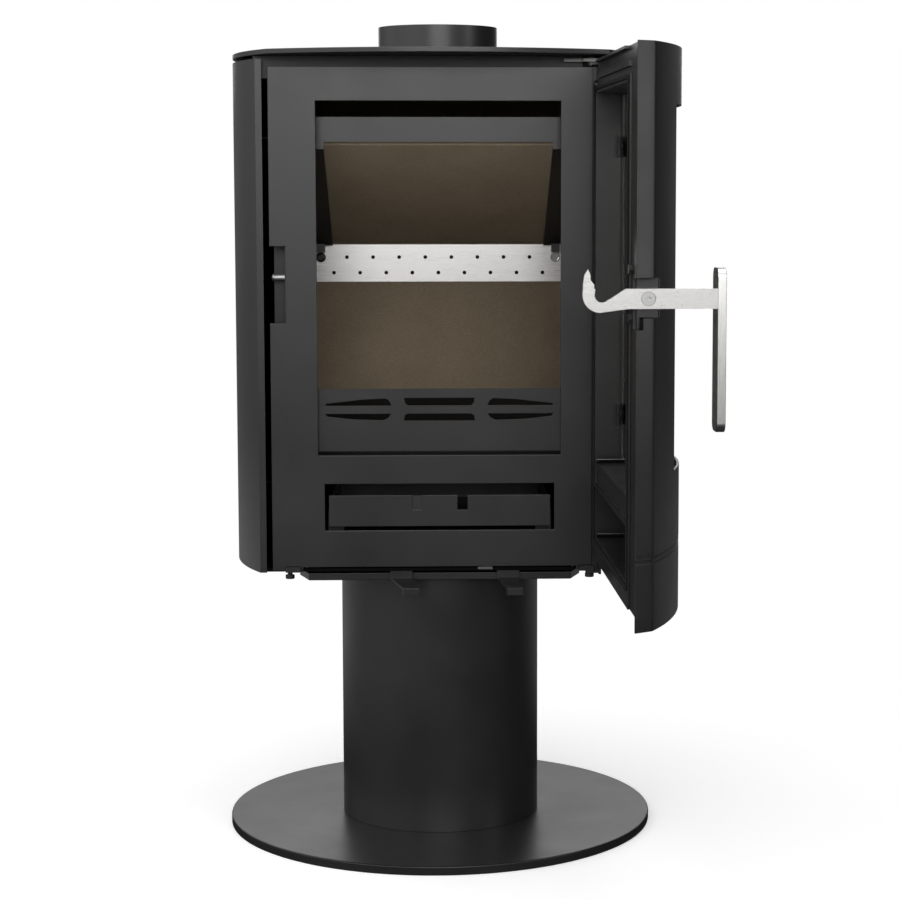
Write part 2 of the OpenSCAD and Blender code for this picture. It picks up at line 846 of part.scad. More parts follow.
module log_guard() {
    half = throat_half_w - run_gap;
    tip = half - 21.2;
    color(paint) difference() {
        block([-half, guard_y, brick_foot], [half, guard_y + 3, floor_top + guard_h + 5]);
        block([12 - half, guard_y - 1, brick_foot - 1], [half - 12, guard_y + 4, floor_top + 6]);
        pair() {
            guard_slot([[58, 61.3], [tip - 1.5, 61.3], [tip, 62.4], [tip - 2, 64],
                [tip - 46.5, 69], [65, 70.2], [61, 67.5]]);
            guard_slot([[58, 51.6], [62, 46.5], [68, 43.5],
                [tip - 34.5, 44.6], [tip - 2.5, 48.2], [tip, 51.6]]);
        }
        guard_slot([[-38.4, 61.3], [38.4, 61.3], [41.5, 64.5], [43, 70.8], [-43, 70.8], [-41.5, 64.5]]);
        guard_slot([[-38.4, 51.6], [-42, 49.5], [-43, 42.9], [43, 42.9], [42, 49.5], [38.4, 51.6]]);
    }
}

// ---- Ash drawer and air levers ----

module ash_drawer() {
    front = drawer_half_w - tray_play;
    half = front - 2.3;
    front_y = face_y + 1.5;
    color(paint) difference() {
        union() {
            block([-front, front_y, tray_z], [front, front_y + tray_t, tray_z + tray_h]);
            block([-half, front_y, tray_z], [half, front_y + tray_d, tray_z + tray_h]);
        }
        block([tray_t - half, front_y + tray_t, tray_z + tray_t],
            [half - tray_t, front_y + tray_d - tray_t, tray_z + 2 * tray_h]);
        pair() block([21.6, front_y - 1, tray_z + tray_h - 17.9],
            [33.6, front_y + tray_t + 1, tray_z + 2 * tray_h]);
    }
}

// An air lever: flat strip with its shutter, a short drop, and a finger tab that leans right
module air_lever(x, lean) {
    low = deck_z + run_gap;
    t = deck_gap - 2 * run_gap;
    drop_y = -deck_half_d - 2.8;
    tip_y = drop_y - 27;
    color(paint) translate([x, 0, 0]) difference() {
        union() {
            block([-lever_w / 2, drop_y - t, low], [lever_w / 2, shutter_y, low + t]);
            block([-24, shutter_y - 22, low], [24, shutter_y + 22, low + t]);
            block([-lever_w / 2, drop_y - t, low - 8], [lever_w / 2, drop_y, low + t]);
            intersection() {
                translate([0, 0, low - 24]) linear_extrude(24) polygon([
                    [-lever_w / 2, drop_y], [lever_w / 2, drop_y],
                    [lean + tab_w / 2, tip_y], [lean - tab_w / 2, tip_y]
                ]);
                translate([-lever_w - abs(lean), 0, 0]) rotate([90, 0, 90])
                    linear_extrude(2 * (lever_w + abs(lean))) polygon([
                        [drop_y, low - 8], [drop_y, low - 5], [tip_y, low - 15],
                        [tip_y, low - 24], [tip_y + t, low - 24], [tip_y + t, low - 17.6]
                    ]);
            }
        }
        for (k = [0, 1]) translate([0, guide_y + k * lever_travel, low - 1])
            cylinder(r = guide_r + run_gap, h = 2 * deck_gap, $fn = 32);
        block([-guide_r - run_gap, guide_y, low - 1],
            [guide_r + run_gap, guide_y + lever_travel, low + 2 * deck_gap]);
    }
}

module primary_air_lever() {
    air_lever(lever_left, 13);
}

module secondary_air_lever() {
    air_lever(lever_right, 8);
}

module lever_guides() {
    color(dark) for (x = [lever_left, lever_right])
        translate([x, guide_y, deck_z]) cylinder(r = guide_r, h = deck_gap, $fn = 32);
}

// ---- Door, drawn closed and then swung open ----

// Swings its children from the closed place to the place they are shown in
module on_door() {
    translate([hinge_x, hinge_y, 0]) rotate([0, 0, door_angle]) translate([-hinge_x, -hinge_y, 0]) children();
}

// Point where the front bow and the right side bow meet, both taken in by an inset
function bow_corner(inset) =
    let (d = norm([side_c, front_c]), ra = front_r - inset, rb = side_r - inset,
        a = (ra * ra - rb * rb + d * d) / (2 * d), h = sqrt(ra * ra - a * a))
    [-a * side_c / d + h * front_c / d, front_c - a * front_c / d - h * side_c / d];

// The point at distance r from one point towards another
function along(from, to, r) = from + (to - from) * r / norm(to - from);

// Plan outline of the door skin: the body's outline with rounded front corners
module door_outline(inset = 0) {
    centre = bow_corner(skin_round);
    difference() {
        outline(inset);
        if (inset < skin_round) for (side = [0, 1]) mirror([side, 0]) difference() {
            polygon([
                centre, along([0, front_c], centre, front_r + 1),
                bow_corner(-1), along([-side_c, 0], centre, side_r + 1)
            ]);
            translate(centre) circle(r = skin_round - inset);
        }
    }
}

// A sheet of the door's plan between two insets, from its free edges forwards
module door_sheet(z, h, outer, inner) {
    translate([0, 0, z]) linear_extrude(h) intersection() {
        difference() {
            door_outline(outer);
            door_outline(inner);
        }
        translate([-body_w, -body_w]) square([2 * body_w, body_w - skin_edge]);
    }
}

// Room for the latch arm through the left edge of the door
module latch_notch() {
    block([-body_w, -2 * pivot_d, notch_z], [-notch_x, 0, notch_z + notch_h]);
    block([-body_w, hook_reach - pivot_d - 45, notch_z - 12], [3 - notch_x, 0, notch_z + notch_h]);
}

module door_skin() {
    low = body_z + apron_h + bead_h;
    color(paint) on_door() difference() {
        door_sheet(low, panel_top - low, 0, skin_t);
        block([-window_half_w, -body_w, window_z], [window_half_w, 0, window_top]);
        latch_notch();
    }
}

module door_apron() {
    color(paint) on_door() {
        door_sheet(body_z, apron_h, 0, skin_t);
        door_sheet(body_z + apron_h - eps, bead_h + eps, groove_d, skin_t);
        door_sheet(body_z + apron_h + bead_h / 2, 1.3, 0, groove_d + eps);
    }
}

// The flat opening rims of the inner frame, as a plate between two depths
module rim(front, rear, low) {
    half = frame_half_w;
    difference() {
        block([-half - rim_w, front, low], [half + rim_w, rear, ceiling_z + frame_t + rim_w]);
        block([-half, front - 1, cross_z + rim_w], [half, rear + 1, ceiling_z]);
        block([-half, front - 1, frame_z + sill_h], [half, rear + 1, cross_z]);
    }
}

module door_frame() {
    half = frame_half_w;
    deep = -front_d;
    color(paint) on_door() difference() {
        intersection() {
            union() {
                pair() block([half, deep, frame_z], [half + frame_t, frame_y, ceiling_z + frame_t]);
                block([-half, deep, ceiling_z], [half, frame_y, ceiling_z + frame_t]);
                rim(frame_y - 2, frame_y, frame_z);
                block([-half, frame_y - frame_t, cross_z], [half, frame_y - 2 + eps, cross_z + cross_h]);
                for (z = [cross_z, cross_z + cross_h - frame_t, frame_z, frame_z + sill_h - frame_t])
                    block([-half, deep, z], [half, frame_y - 1, z + frame_t]);
                pair() block([half + frame_t - eps, flange_y - frame_t, frame_z],
                    [half_w, flange_y, flange_top]);
                block([-half - frame_t, flange_y - frame_t, ceiling_z + frame_t - eps],
                    [half + frame_t, flange_y, flange_top]);
                block([20 - half, flange_y - eps, flange_top - frame_t],
                    [half - 20, flange_y + 5, flange_top]);
                block([-half, flange_y - eps, flange_top - 22], [half - 20, flange_y + 3, flange_top - 17]);
            }
            translate([0, 0, body_z]) linear_extrude(panel_h) door_outline(skin_t);
        }
        block([hinge_x - 16, flange_y - 2 * frame_t, face_top - run_gap],
            [hinge_x + 18, flange_y + 1, panel_top]);
        latch_notch();
        at_strap_screws() bar_y(0, -3 * frame_t, 0, screw_r + bolt_play, 6 * frame_t);
        at_latch_bolts() bar_y(0, -3 * frame_t, 0, screw_r + bolt_play, 6 * frame_t);
    }
}

module door_glass() {
    half = frame_half_w - 6;
    color([0.1, 0.1, 0.1, 0.5]) on_door() intersection() {
        door_sheet(cross_z + cross_h + 0.3, ceiling_z - cross_z - cross_h - 3, glass_in, glass_in + glass_t);
        block([-half, -body_w, 0], [half, 0, lid_z]);
    }
}

module glass_gasket() {
    half = frame_half_w - 7;
    low = cross_z + cross_h + 1;
    color(rope) on_door() difference() {
        intersection() {
            door_sheet(low, ceiling_z - low - 4, skin_t, glass_in);
            block([-half, -body_w, 0], [half, 0, lid_z]);
        }
        block([-window_half_w - 3, -body_w, window_z - 3], [window_half_w + 3, 0, window_top + 3]);
    }
}

module door_gasket() {
    color(rope) on_door() rim(frame_y, face_y - run_gap, frame_z + sill_h - 10);
}

// Places its children at the four glass clips, on the frame's side walls
module at_clips() {
    pair() for (z = [window_z + clip_low, window_top - clip_high])
        translate([frame_half_w, front_y(frame_half_w, glass_in + glass_t) - clip_ahead, z]) children();
}

module glass_clips() {
    color(dark) on_door() at_clips() difference() {
        union() {
            block([-2, -6, -12], [0, 6, 12]);
            block([-13, 4, -12], [0, 6, 12]);
        }
        rotate([0, 90, 0]) cylinder(r = screw_r, h = 20, center = true, $fn = 32);
    }
}

module clip_screws() {
    color(steel) on_door() at_clips() translate([-4.2, -1.4, 0]) rotate([0, 90, 0])
        cylinder(r = 4.6, h = 2.2, $fn = 32);
}

// Places its children at the screws of the two hinge straps
module at_strap_screws() {
    for (k = [-1, 1], z = [0, screw_pitch, 2 * screw_pitch])
        translate([hinge_x - 6, flange_y, k > 0 ? upper_screw_z - z : lower_screw_z + z]) children();
}

// A hinge strap between two heights, with its eye between two others
module hinge_strap(low, high, eye_z) {
    color(paint) on_door() difference() {
        union() {
            block([hinge_x - 14, flange_y - 2 * frame_t, low], [hinge_x + 8, flange_y - frame_t, high]);
            block([hinge_x - pin_r - 2, flange_y - 2 * frame_t, eye_z],
                [hinge_x + pin_r + 2, hinge_y, eye_z + lug_t]);
            translate([hinge_x, hinge_y, eye_z]) cylinder(r = pin_r + 2, h = lug_t, $fn = 32);
        }
        translate([hinge_x, hinge_y, eye_z - 1]) cylinder(r = pin_r + pin_play, h = 3 * lug_t, $fn = 32);
        at_strap_screws() bar_y(0, -3 * frame_t, 0, screw_r + bolt_play, 6 * frame_t);
    }
}

module hinge_strap_upper() {
    hinge_strap(upper_screw_z - 45, bracket_up_z - 2 * run_gap, bracket_up_z - 2 * run_gap - lug_t);
}

module hinge_strap_lower() {
    hinge_strap(lug_z, lower_screw_z + 42, lug_z);
}

module strap_screws() {
    color(steel) on_door() at_strap_screws() {
        bar_y(0, 0, 0, 4.7, 5);
        bar_y(0, -2 * frame_t, 0, screw_r, 2 * frame_t + 1);
    }
}

// ---- Latch ----

// Places its children at the two bolts of the latch bracket
module at_latch_bolts() {
    for (z = [-22, 30]) translate([-notch_x + 8, flange_y, pivot_z + z]) children();
}

// Places its children at the latch pivot, with +Z along the pivot towards the hinge
module at_pivot() {
    translate([-arm_x, -pivot_d, pivot_z]) rotate([90, 0, 90]) children();
}

module latch_bracket() {
    front = arm_t / 2 + 1.5;
    color(paint) on_door() difference() {
        intersection() {
            union() {
                block([front - arm_x, -2 * pivot_d, notch_z],
                    [front + 3 - arm_x, flange_y - frame_t, notch_z + notch_h]);
                block([front - arm_x, flange_y - 2 * frame_t, notch_z - 12],
                    [16 - notch_x, flange_y - frame_t, notch_z + notch_h + 21]);
            }
            translate([0, 0, body_z]) linear_extrude(panel_h) door_outline();
        }
        at_pivot() cylinder(r = pivot_r + pin_play, h = 60, $fn = 32);
        at_latch_bolts() bar_y(0, -3 * frame_t, 0, screw_r + bolt_play, 6 * frame_t);
    }
}

module latch_bolts() {
    color(steel) on_door() at_latch_bolts() {
        rotate([-90, 0, 0]) cylinder(r = 5.5, h = 4.5, $fn = 6);
        bar_y(0, -2 * frame_t, 0, screw_r, 2 * frame_t + 1);
    }
}

module pivot_screw() {
    half = arm_t / 2;
    color(steel) on_door() at_pivot() difference() {
        union() {
            translate([0, 0, 0.1 - half]) cylinder(r = pivot_r + 3.3, h = half - 0.4, $fn = 48);
            translate([0, 0, -0.4]) cylinder(r = pivot_r, h = half + 12, $fn = 48);
            translate([0, 0, half + 0.2]) cylinder(r = pivot_r + 4, h = 1.3, $fn = 48);
            translate([0, 0, half + 4.5]) cylinder(r = pivot_r + 3, h = 4.5, $fn = 6);
        }
        translate([0, 0, -half]) cylinder(r = 2.4, h = 2, $fn = 6);
    }
}

// A side view of the latch arm as a plate: u runs to the rear of the pivot, v upwards
module arm_plate(points) {
    translate([0, 0, -arm_t / 2]) linear_extrude(arm_t) polygon(points);
}

module latch_arm() {
    half = arm_h / 2;
    seat = [hook_reach - 3, 4.2];
    low = half - 24.9;
    rear = hook_reach + 17.5;
    color(steel) on_door() at_pivot() difference() {
        union() {
            arm_plate([
                [-grip_out, -half], [21.5, -half], [hook_reach, low], [hook_reach, 0],
                [seat[0] - 7.5, -0.5], [24, half], [-grip_out, half]
            ]);
            intersection() {
                translate([hook_reach - 1.5, 4.6, 0]) cylinder(r = 19, h = arm_t, center = true);
                arm_plate([[hook_reach - 2, 2 * low], [rear, 2 * low], [rear, half], [hook_reach - 2, half]]);
            }
            translate([hook_reach, 0, 0]) arm_plate([
                [6.5, 3], [5.2, 14.7], [9.4, 19.9], [9.3, 25], [11.8, 30.8], [15.5, 25.1], [17, 14], [16.5, 3]
            ]);
        }
        translate([seat[0], seat[1], 0]) {
            cylinder(r = 8, h = 2 * arm_t, center = true, $fn = 48);
            scale(2) arm_plate([[-4, 0], [0, -0.5], [4, 0], [3.6, 2.65], [4.1, 5.25], [2, 7], [-10, 7]]);
        }
        cylinder(r = pivot_r + pin_play, h = 4 * arm_t, center = true, $fn = 48);
        translate([0, 0, -half]) cylinder(r = pivot_r + 3.6, h = half - 0.2, $fn = 48);
    }
}

module grip_bar() {
    round = 10;
    left = -arm_x - arm_t / 2;
    top = pivot_z + grip_rise;
    color(steel) on_door() translate([0, -pivot_d - grip_out, 0]) rotate([90, 0, 0]) linear_extrude(grip_t) {
        for (x = [left + round, left + grip_w - round], z = [top - grip_h + round, top - round])
            translate([x, z]) circle(r = round);
        translate([left, top - grip_h + round]) square([grip_w, grip_h - 2 * round]);
        translate([left + round, top - grip_h]) square([grip_w - 2 * round, grip_h]);
    }
}

base_plate();
pedestal_column();
column_bolts();
support_plate();
body_spacers();
firebox_bottom();
firebox_left();
firebox_right();
firebox_back();
firebox_top();
front_plate();
top_rail();
top_plate();
top_spacers();
flue_collar();
collar_bolts();
side_panel_left();
side_panel_right();
back_panel();
back_screws();
panel_brackets();
latch_keeper();
latch_pin();
hinge_bracket_upper();
hinge_bracket_lower();
hinge_pins();
brick_left();
brick_right();
brick_back();
brick_floor();
grate();
ash_shelf();
floor_plate();
drawer_runners();
lever_guides();
baffle_frame();
baffle_board();
upper_baffle();
air_strip();
strip_bolts();
log_guard();
ash_drawer();
primary_air_lever();
secondary_air_lever();
door_frame();
door_skin();
door_apron();
door_glass();
glass_gasket();
door_gasket();
glass_clips();
clip_screws();
hinge_strap_upper();
hinge_strap_lower();
strap_screws();
latch_bracket();
latch_bolts();
pivot_screw();
latch_arm();
grip_bar();
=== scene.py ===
"""Looks of a steel wood stove on a round pedestal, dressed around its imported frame.

Every size is in metres. Pieces of the door are worked out as if it were closed
and are then turned about the hinge axis to the place in which the door is shown.
"""

import json
import logging
import math
from dataclasses import dataclass
from enum import Enum
from functools import lru_cache, partialmethod
from typing import Callable, Dict, List, Optional, Sequence, Tuple

import bmesh
import bpy
import numpy as np
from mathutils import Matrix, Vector


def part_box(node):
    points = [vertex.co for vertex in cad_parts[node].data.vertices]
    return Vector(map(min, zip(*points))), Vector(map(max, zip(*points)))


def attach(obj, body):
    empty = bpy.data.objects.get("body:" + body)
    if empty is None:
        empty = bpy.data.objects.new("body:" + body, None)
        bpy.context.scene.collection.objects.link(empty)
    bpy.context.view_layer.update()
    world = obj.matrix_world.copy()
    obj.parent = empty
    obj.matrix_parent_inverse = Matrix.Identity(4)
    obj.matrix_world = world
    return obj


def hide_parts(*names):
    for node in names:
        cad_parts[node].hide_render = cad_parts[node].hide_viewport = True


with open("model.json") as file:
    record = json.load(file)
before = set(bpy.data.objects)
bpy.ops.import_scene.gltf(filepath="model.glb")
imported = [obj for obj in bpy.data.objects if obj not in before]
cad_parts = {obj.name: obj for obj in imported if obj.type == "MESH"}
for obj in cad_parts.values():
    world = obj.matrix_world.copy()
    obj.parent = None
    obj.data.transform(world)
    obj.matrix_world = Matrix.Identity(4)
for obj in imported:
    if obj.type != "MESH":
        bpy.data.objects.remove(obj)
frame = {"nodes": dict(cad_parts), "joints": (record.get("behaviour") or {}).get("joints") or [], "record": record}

Vec = Tuple[float, float, float]
Color = Tuple[float, float, float, float]
Array = np.ndarray
Surface = Tuple[Array, List[List[int]]]
Socket = bpy.types.NodeSocket

LOG = logging.getLogger("stove")
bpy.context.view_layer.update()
MM = 0.001
ON_AXIS = 1e-7
HINGE = next(entry for entry in frame["joints"] if entry["name"] == "door_hinge")
HINGE_X, HINGE_Y = HINGE["pos_m"][0], HINGE["pos_m"][1]
DOOR_ANGLE = math.radians(-HINGE["range_deg"][0])


# ---- Surfaces and meshes ----


def revolve(radius: Array, height: Array, around: int, sides: int = 0) -> Surface:
    """Turn a profile about the Z axis.

    Each row of the grid is one profile point carried round: x = r cos t, y = r sin t.
    A negative radius marks a row that runs along a regular polygon with `sides` sides
    whose flats stand at that distance, r = a / cos(t mod (2 pi / n) - pi / n).

    Args:
        radius: distance of each profile point from the axis.
        height: height of each profile point.
        around: number of steps in a full turn.
        sides: number of sides of the polygon rows.

    Returns:
        The points and the faces of a closed band, with its ends left open.
    """
    turn = np.linspace(0.0, 2.0 * np.pi, around, endpoint=False)
    reach = np.repeat(np.abs(radius)[:, None], around, axis=1)
    if sides:
        step = 2.0 * np.pi / sides
        flat = 1.0 / np.cos(np.mod(turn, step) - step / 2.0)
        reach = np.where(radius[:, None] < 0.0, reach * flat[None, :], reach)
    rise = np.repeat(height[:, None], around, axis=1)
    points = np.stack([reach * np.cos(turn), reach * np.sin(turn), rise], axis=-1)
    return points.reshape(-1, 3), grid_faces(len(radius), around, wrap_columns=True)


def grid_faces(rows: int, columns: int, wrap_rows: bool = False,
               wrap_columns: bool = False) -> List[List[int]]:
    """List the quads of a grid of points.

    Args:
        rows: number of rows.
        columns: number of points in a row.
        wrap_rows: joins the last row to the first.
        wrap_columns: joins the last point of each row to its first.

    Returns:
        Four point numbers for each quad.
    """
    i = np.arange(rows if wrap_rows else rows - 1)
    j = np.arange(columns if wrap_columns else columns - 1)
    low, left = np.meshgrid(i, j, indexing="ij")
    high, right = (low + 1) % rows, (left + 1) % columns
    corners = ((low, left), (low, right), (high, right), (high, left))
    quads = np.stack([row * columns + column for row, column in corners], axis=-1)
    return quads.reshape(-1, 4).tolist()


def turned(points: Array, axis: Vec) -> Array:
    """Turn points so that their +Z runs along a given axis.

    Args:
        points: rows of x, y and z.
        axis: the direction that +Z takes.

    Returns:
        The turned rows.
    """
    matrix = np.array(Vector((0.0, 0.0, 1.0)).rotation_difference(Vector(axis)).to_matrix())
    return points @ matrix.T


def swung(points: Array, angle: float = DOOR_ANGLE) -> Array:
    """Turn points about the hinge axis, by default from the closed door to where it is shown.

    Args:
        points: rows of x, y and z.
        angle: how far they turn, in radians.

    Returns:
        The turned rows.
    """
    cos, sin = math.cos(angle), math.sin(angle)
    x, y = points[:, 0] - HINGE_X, points[:, 1] - HINGE_Y
    return np.stack([HINGE_X + x * cos - y * sin, HINGE_Y + x * sin + y * cos, points[:, 2]], axis=-1)


def new_piece(name: str, points: Array, faces: List[List[int]],
              smooth: float = 40.0) -> bpy.types.Object:
    """Make one mesh object from points and faces, with its normals outwards.

    Args:
        name: name of the piece.
        points: rows of x, y and z.
        faces: point numbers of each face.
        smooth: edges that turn by more degrees than this stay sharp.

    Returns:
        The new object, placed at the origin.
    """
    mesh = bpy.data.meshes.new(name)
    mesh.from_pydata(points.tolist(), [], faces)
    tidy = bmesh.new()
    tidy.from_mesh(mesh)
    bmesh.ops.remove_doubles(tidy, verts=tidy.verts, dist=1e-6)
    bmesh.ops.recalc_face_normals(tidy, faces=tidy.faces)
    sharpen(tidy, math.radians(smooth))
    tidy.to_mesh(mesh)
    tidy.free()
    piece = bpy.data.objects.new(name, mesh)
    bpy.context.scene.collection.objects.link(piece)
    return piece


def sharpen(mesh: bmesh.types.BMesh, limit: float) -> None:
    """Shade a mesh smooth and keep its sharp edges.

    Args:
        mesh: the mesh that is changed.
        limit: edges that turn by more than this angle stay sharp.
    """
    for face in mesh.faces:
        face.smooth = True
    for edge in mesh.edges:
        edge.smooth = len(edge.link_faces) == 2 and edge.calc_face_angle(0.0) < limit


def joined(parts: Sequence[Surface]) -> Surface:
    """Put several meshes into one list of points and faces.

    Args:
        parts: points and faces of each mesh.

    Returns:
        All points and all faces, renumbered.
    """
    points, faces, start = [], [], 0
    for part_points, part_faces in parts:
        points.append(part_points)
        faces.extend([[index + start for index in face] for face in part_faces])
        start += len(part_points)
    return np.concatenate(points), faces


def closed_loop(low: Array, high: Array, round_radius: float, spacing: float) -> Array:
    """Walk round a rectangle with rounded corners in even steps.

    Straight stretches are straight lines and each corner is a quarter circle.

    Args:
        low, high: lowest and highest corner of the rectangle.
        round_radius: radius of the corners.
        spacing: distance between the points.

    Returns:
        Rows of two coordinates, evenly spaced along the closed line.
    """
    r = round_radius
    (left, foot), (right, head) = low + r, high - r
    arcs = []
    for quarter, (x, z) in enumerate([(right, head), (left, head), (left, foot), (right, foot)]):
        t = np.radians(np.linspace(90.0 * quarter, 90.0 * (quarter + 1), 9))
        arcs.append(np.stack([x + r * np.cos(t), z + r * np.sin(t)], axis=-1))
    line = np.concatenate(arcs + [arcs[0][:1]])
    length = np.concatenate([[0.0], np.cumsum(np.linalg.norm(np.diff(line, axis=0), axis=1))])
    at = np.linspace(0.0, length[-1], int(length[-1] / spacing), endpoint=False)
    return np.stack([np.interp(at, length, line[:, 0]), np.interp(at, length, line[:, 1])], axis=-1)


def tangents(path: Array) -> Array:
    """Give the direction of a closed path at each of its points.

    Args:
        path: rows of x, y and z.

    Returns:
        Unit vectors from the point before to the point after.
    """
    ahead = np.roll(path, -1, axis=0) - np.roll(path, 1, axis=0)
    return ahead / np.linalg.norm(ahead, axis=1)[:, None]


def braid(path: Array, side: Array, out: Array, width: float, thick: float, pitch: float,
          closed: bool) -> Surface:
    """Carry a braided section along a path.

    The section is a superellipse, and two families of strands cross on it: the surface
    rises by the greater of |sin(k s + n t)| and |sin(k s - n t)|, with s the distance
    along the path and t the angle round the section.

    Args:
        path: rows of x, y and z at even steps.
        side: for each point the unit vector across the braid.
        out: for each point the unit vector out of the braid's seat.
        width: width across the braid.
        thick: thickness of the braid.
        pitch: length of one crossing along the path.
        closed: joins the end of the path to its start.

    Returns:
        The points and faces of the braid.
    """
    around, squareness, strand_depth = 20, 0.5, 0.14
    t = np.linspace(0.0, 2.0 * np.pi, around, endpoint=False)
    step = np.linalg.norm(path[1] - path[0])
    s = np.arange(len(path)) * step
    turns = max(1, round(len(path) * step / pitch))
    along = (np.pi * turns / (len(path) * step) * s)[:, None]
    strands = np.maximum(np.abs(np.sin(along + 2.0 * t)), np.abs(np.sin(along - 2.0 * t)))
    swell = 1.0 - strand_depth + strand_depth * strands
    across = np.sign(np.cos(t)) * np.abs(np.cos(t)) ** squareness * width / 2.0
    rise = np.sign(np.sin(t)) * np.abs(np.sin(t)) ** squareness * thick / 2.0
    points = (path[:, None, :] + (across * swell)[..., None] * side[:, None, :]
              + (rise * swell)[..., None] * out[:, None, :])
    faces = grid_faces(len(path), around, wrap_rows=closed, wrap_columns=True)
    if not closed:
        faces.append(list(range(around))[::-1])
        faces.append([(len(path) - 1) * around + i for i in range(around)])
    return points.reshape(-1, 3), faces


# ---- Finishes ----


class Grain(Enum):
    """Direction in which a metal is brushed."""

    ALONG_X = (2.0, 260.0, 260.0)
    ALONG_Z = (260.0, 260.0, 2.0)


@dataclass
class Sockets:
    """Adds nodes to a node tree and links them in one line each."""

    tree: bpy.types.NodeTree

    def feed(self, node: bpy.types.Node, links: Dict[str, object]) -> None:
        """Feed inputs of a node.

        Args:
            node: the node.
            links: for each input, by its name or as # and its number, the socket or constant.
        """
        for name, source in links.items():
            target = node.inputs[int(name[1:]) if name.startswith("#") else name]
            if isinstance(source, Socket):
                self.tree.links.new(source, target)
            else:
                target.default_value = source

    def add(self, kind: str, links: Optional[Dict[str, object]] = None,
            **values: object) -> bpy.types.Node:
        """Add one node.

        Args:
            kind: type name of the node, without its family's name.
            links: what feeds its inputs, as in feed().
            **values: properties of the node.

        Returns:
            The new node.
        """
        node = self.tree.nodes.new("ShaderNode" + kind)
        for name, value in values.items():
            setattr(node, name, value)
        self.feed(node, links or {})
        return node

    def math(self, operation: str, *values: object, kind: str = "Math", result: object = 0,
             **settings: object) -> Socket:
        """Combine values; vector() does the same with vectors and colours.

        Args:
            operation: what is done with them.
            *values: sockets or constants.
            kind: type name of the node.
            result: number or name of the output that is read.
            **settings: other properties of the node.

        Returns:
            The result.
        """
        links = {f"#{place}": value for place, value in enumerate(values)}
        return self.add(kind, links, operation=operation, **settings).outputs[result]

    vector = partialmethod(math, kind="VectorMath")

    def blend(self, share: Socket, first: object, second: object) -> Socket:
        """Mix two colours.

        Args:
            share: share of the second colour.
            first, second: the colours.

        Returns:
            The mixed colour.
        """
        return self.add("Mix", {"#0": share, "#6": first, "#7": second}, data_type="RGBA").outputs[2]

    def shade(self, share: Socket, first: Socket, second: Socket) -> Socket:
        """Mix two shaders.

        Args:
            share: share of the second shader.
            first, second: the shaders.

        Returns:
            The mixed shader.
        """
        return self.add("MixShader", {"#0": share, "#1": first, "#2": second}).outputs[0]

    def where(self) -> Socket:
        """Give the object coordinates.

        Returns:
            The coordinates, in metres.
        """
        return self.add("TexCoord").outputs["Object"]

    def part(self, vector: Socket, axis: str) -> Socket:
        """Take one coordinate of a vector.

        Args:
            vector: the vector.
            axis: X, Y or Z.

        Returns:
            The coordinate.
        """
        return self.add("SeparateXYZ", {"Vector": vector}).outputs[axis]

    def ramp(self, source: Socket, low: float, high: float, to_low: float, to_high: float) -> Socket:
        """Map one range onto another, with its ends clamped.

        Args:
            source: the value.
            low, high: the range that is read.
            to_low, to_high: the values given at its ends.

        Returns:
            The mapped value.
        """
        return self.add("MapRange", {"Value": source, "From Min": low, "From Max": high,
                                     "To Min": to_low, "To Max": to_high}).outputs["Result"]

    def noise(self, vector: Socket, scale: float, detail: float, rough: float) -> Socket:
        """Add a noise pattern.

        Args:
            vector: where it is read.
            scale: blobs per metre.
            detail: octaves of finer noise.
            rough: strength of the finer octaves.

        Returns:
            The noise value, about 0.5 on average.
        """
        links = {"Vector": vector, "Scale": scale, "Detail": detail, "Roughness": rough}
        return self.add("TexNoise", links).outputs["Fac"]


def effect(name: str, inputs: Dict[str, Tuple[str, object]],
           fill: Callable[[Sockets, Dict[str, Socket]], Dict[str, Socket]]) -> bpy.types.NodeTree:
    """Build one shared effect as a node group that puts out colour, roughness and height.

    Args:
        name: name of the group.
        inputs: type and default of each input.
        fill: adds the group's nodes, given its inputs, and returns what it puts out.

    Returns:
        The node group.
    """
    group = bpy.data.node_groups.new(name, "ShaderNodeTree")
    for label, (kind, default) in inputs.items():
        socket = group.interface.new_socket(label, in_out="INPUT", socket_type="NodeSocket" + kind)
        socket.default_value = default
    for label, kind in (("Color", "Color"), ("Roughness", "Float"), ("Height", "Float")):
        group.interface.new_socket(label, in_out="OUTPUT", socket_type="NodeSocket" + kind)
    nodes = Sockets(group)
    given, result = group.nodes.new("NodeGroupInput"), group.nodes.new("NodeGroupOutput")
    nodes.feed(result, fill(nodes, given.outputs))
    return group


def fill_coat(nodes: Sockets, given: Dict[str, Socket]) -> Dict[str, Socket]:
    """Grain of a sprayed coat: a fine orange peel, broad clouds of tone and faint dust.

    Args:
        nodes: the group's node helper.
        given: the group's inputs.

    Returns:
        What the group puts out.
    """
    where = nodes.where()
    peel = nodes.noise(where, 900.0, 3.0, 0.6)
    cloud = nodes.noise(where, 9.0, 5.0, 0.6)
    speck = nodes.noise(where, 2400.0, 2.0, 0.5)
    tone = nodes.math("MULTIPLY", nodes.ramp(cloud, 0.3, 0.7, -1.0, 1.0), given["Clouds"])
    dust = nodes.ramp(speck, 0.35, 0.75, 0.85, 1.25)
    sparkle = nodes.math("MULTIPLY", dust, nodes.math("ADD", tone, 1.0))
    matt = nodes.math("ADD", nodes.ramp(cloud, 0.25, 0.75, -0.05, 0.06), given["Gloss loss"])
    return {"Color": nodes.vector("MULTIPLY", given["Color"], sparkle),
            "Roughness": nodes.math("ADD", nodes.ramp(peel, 0.3, 0.7, -0.03, 0.03), matt),
            "Height": peel}


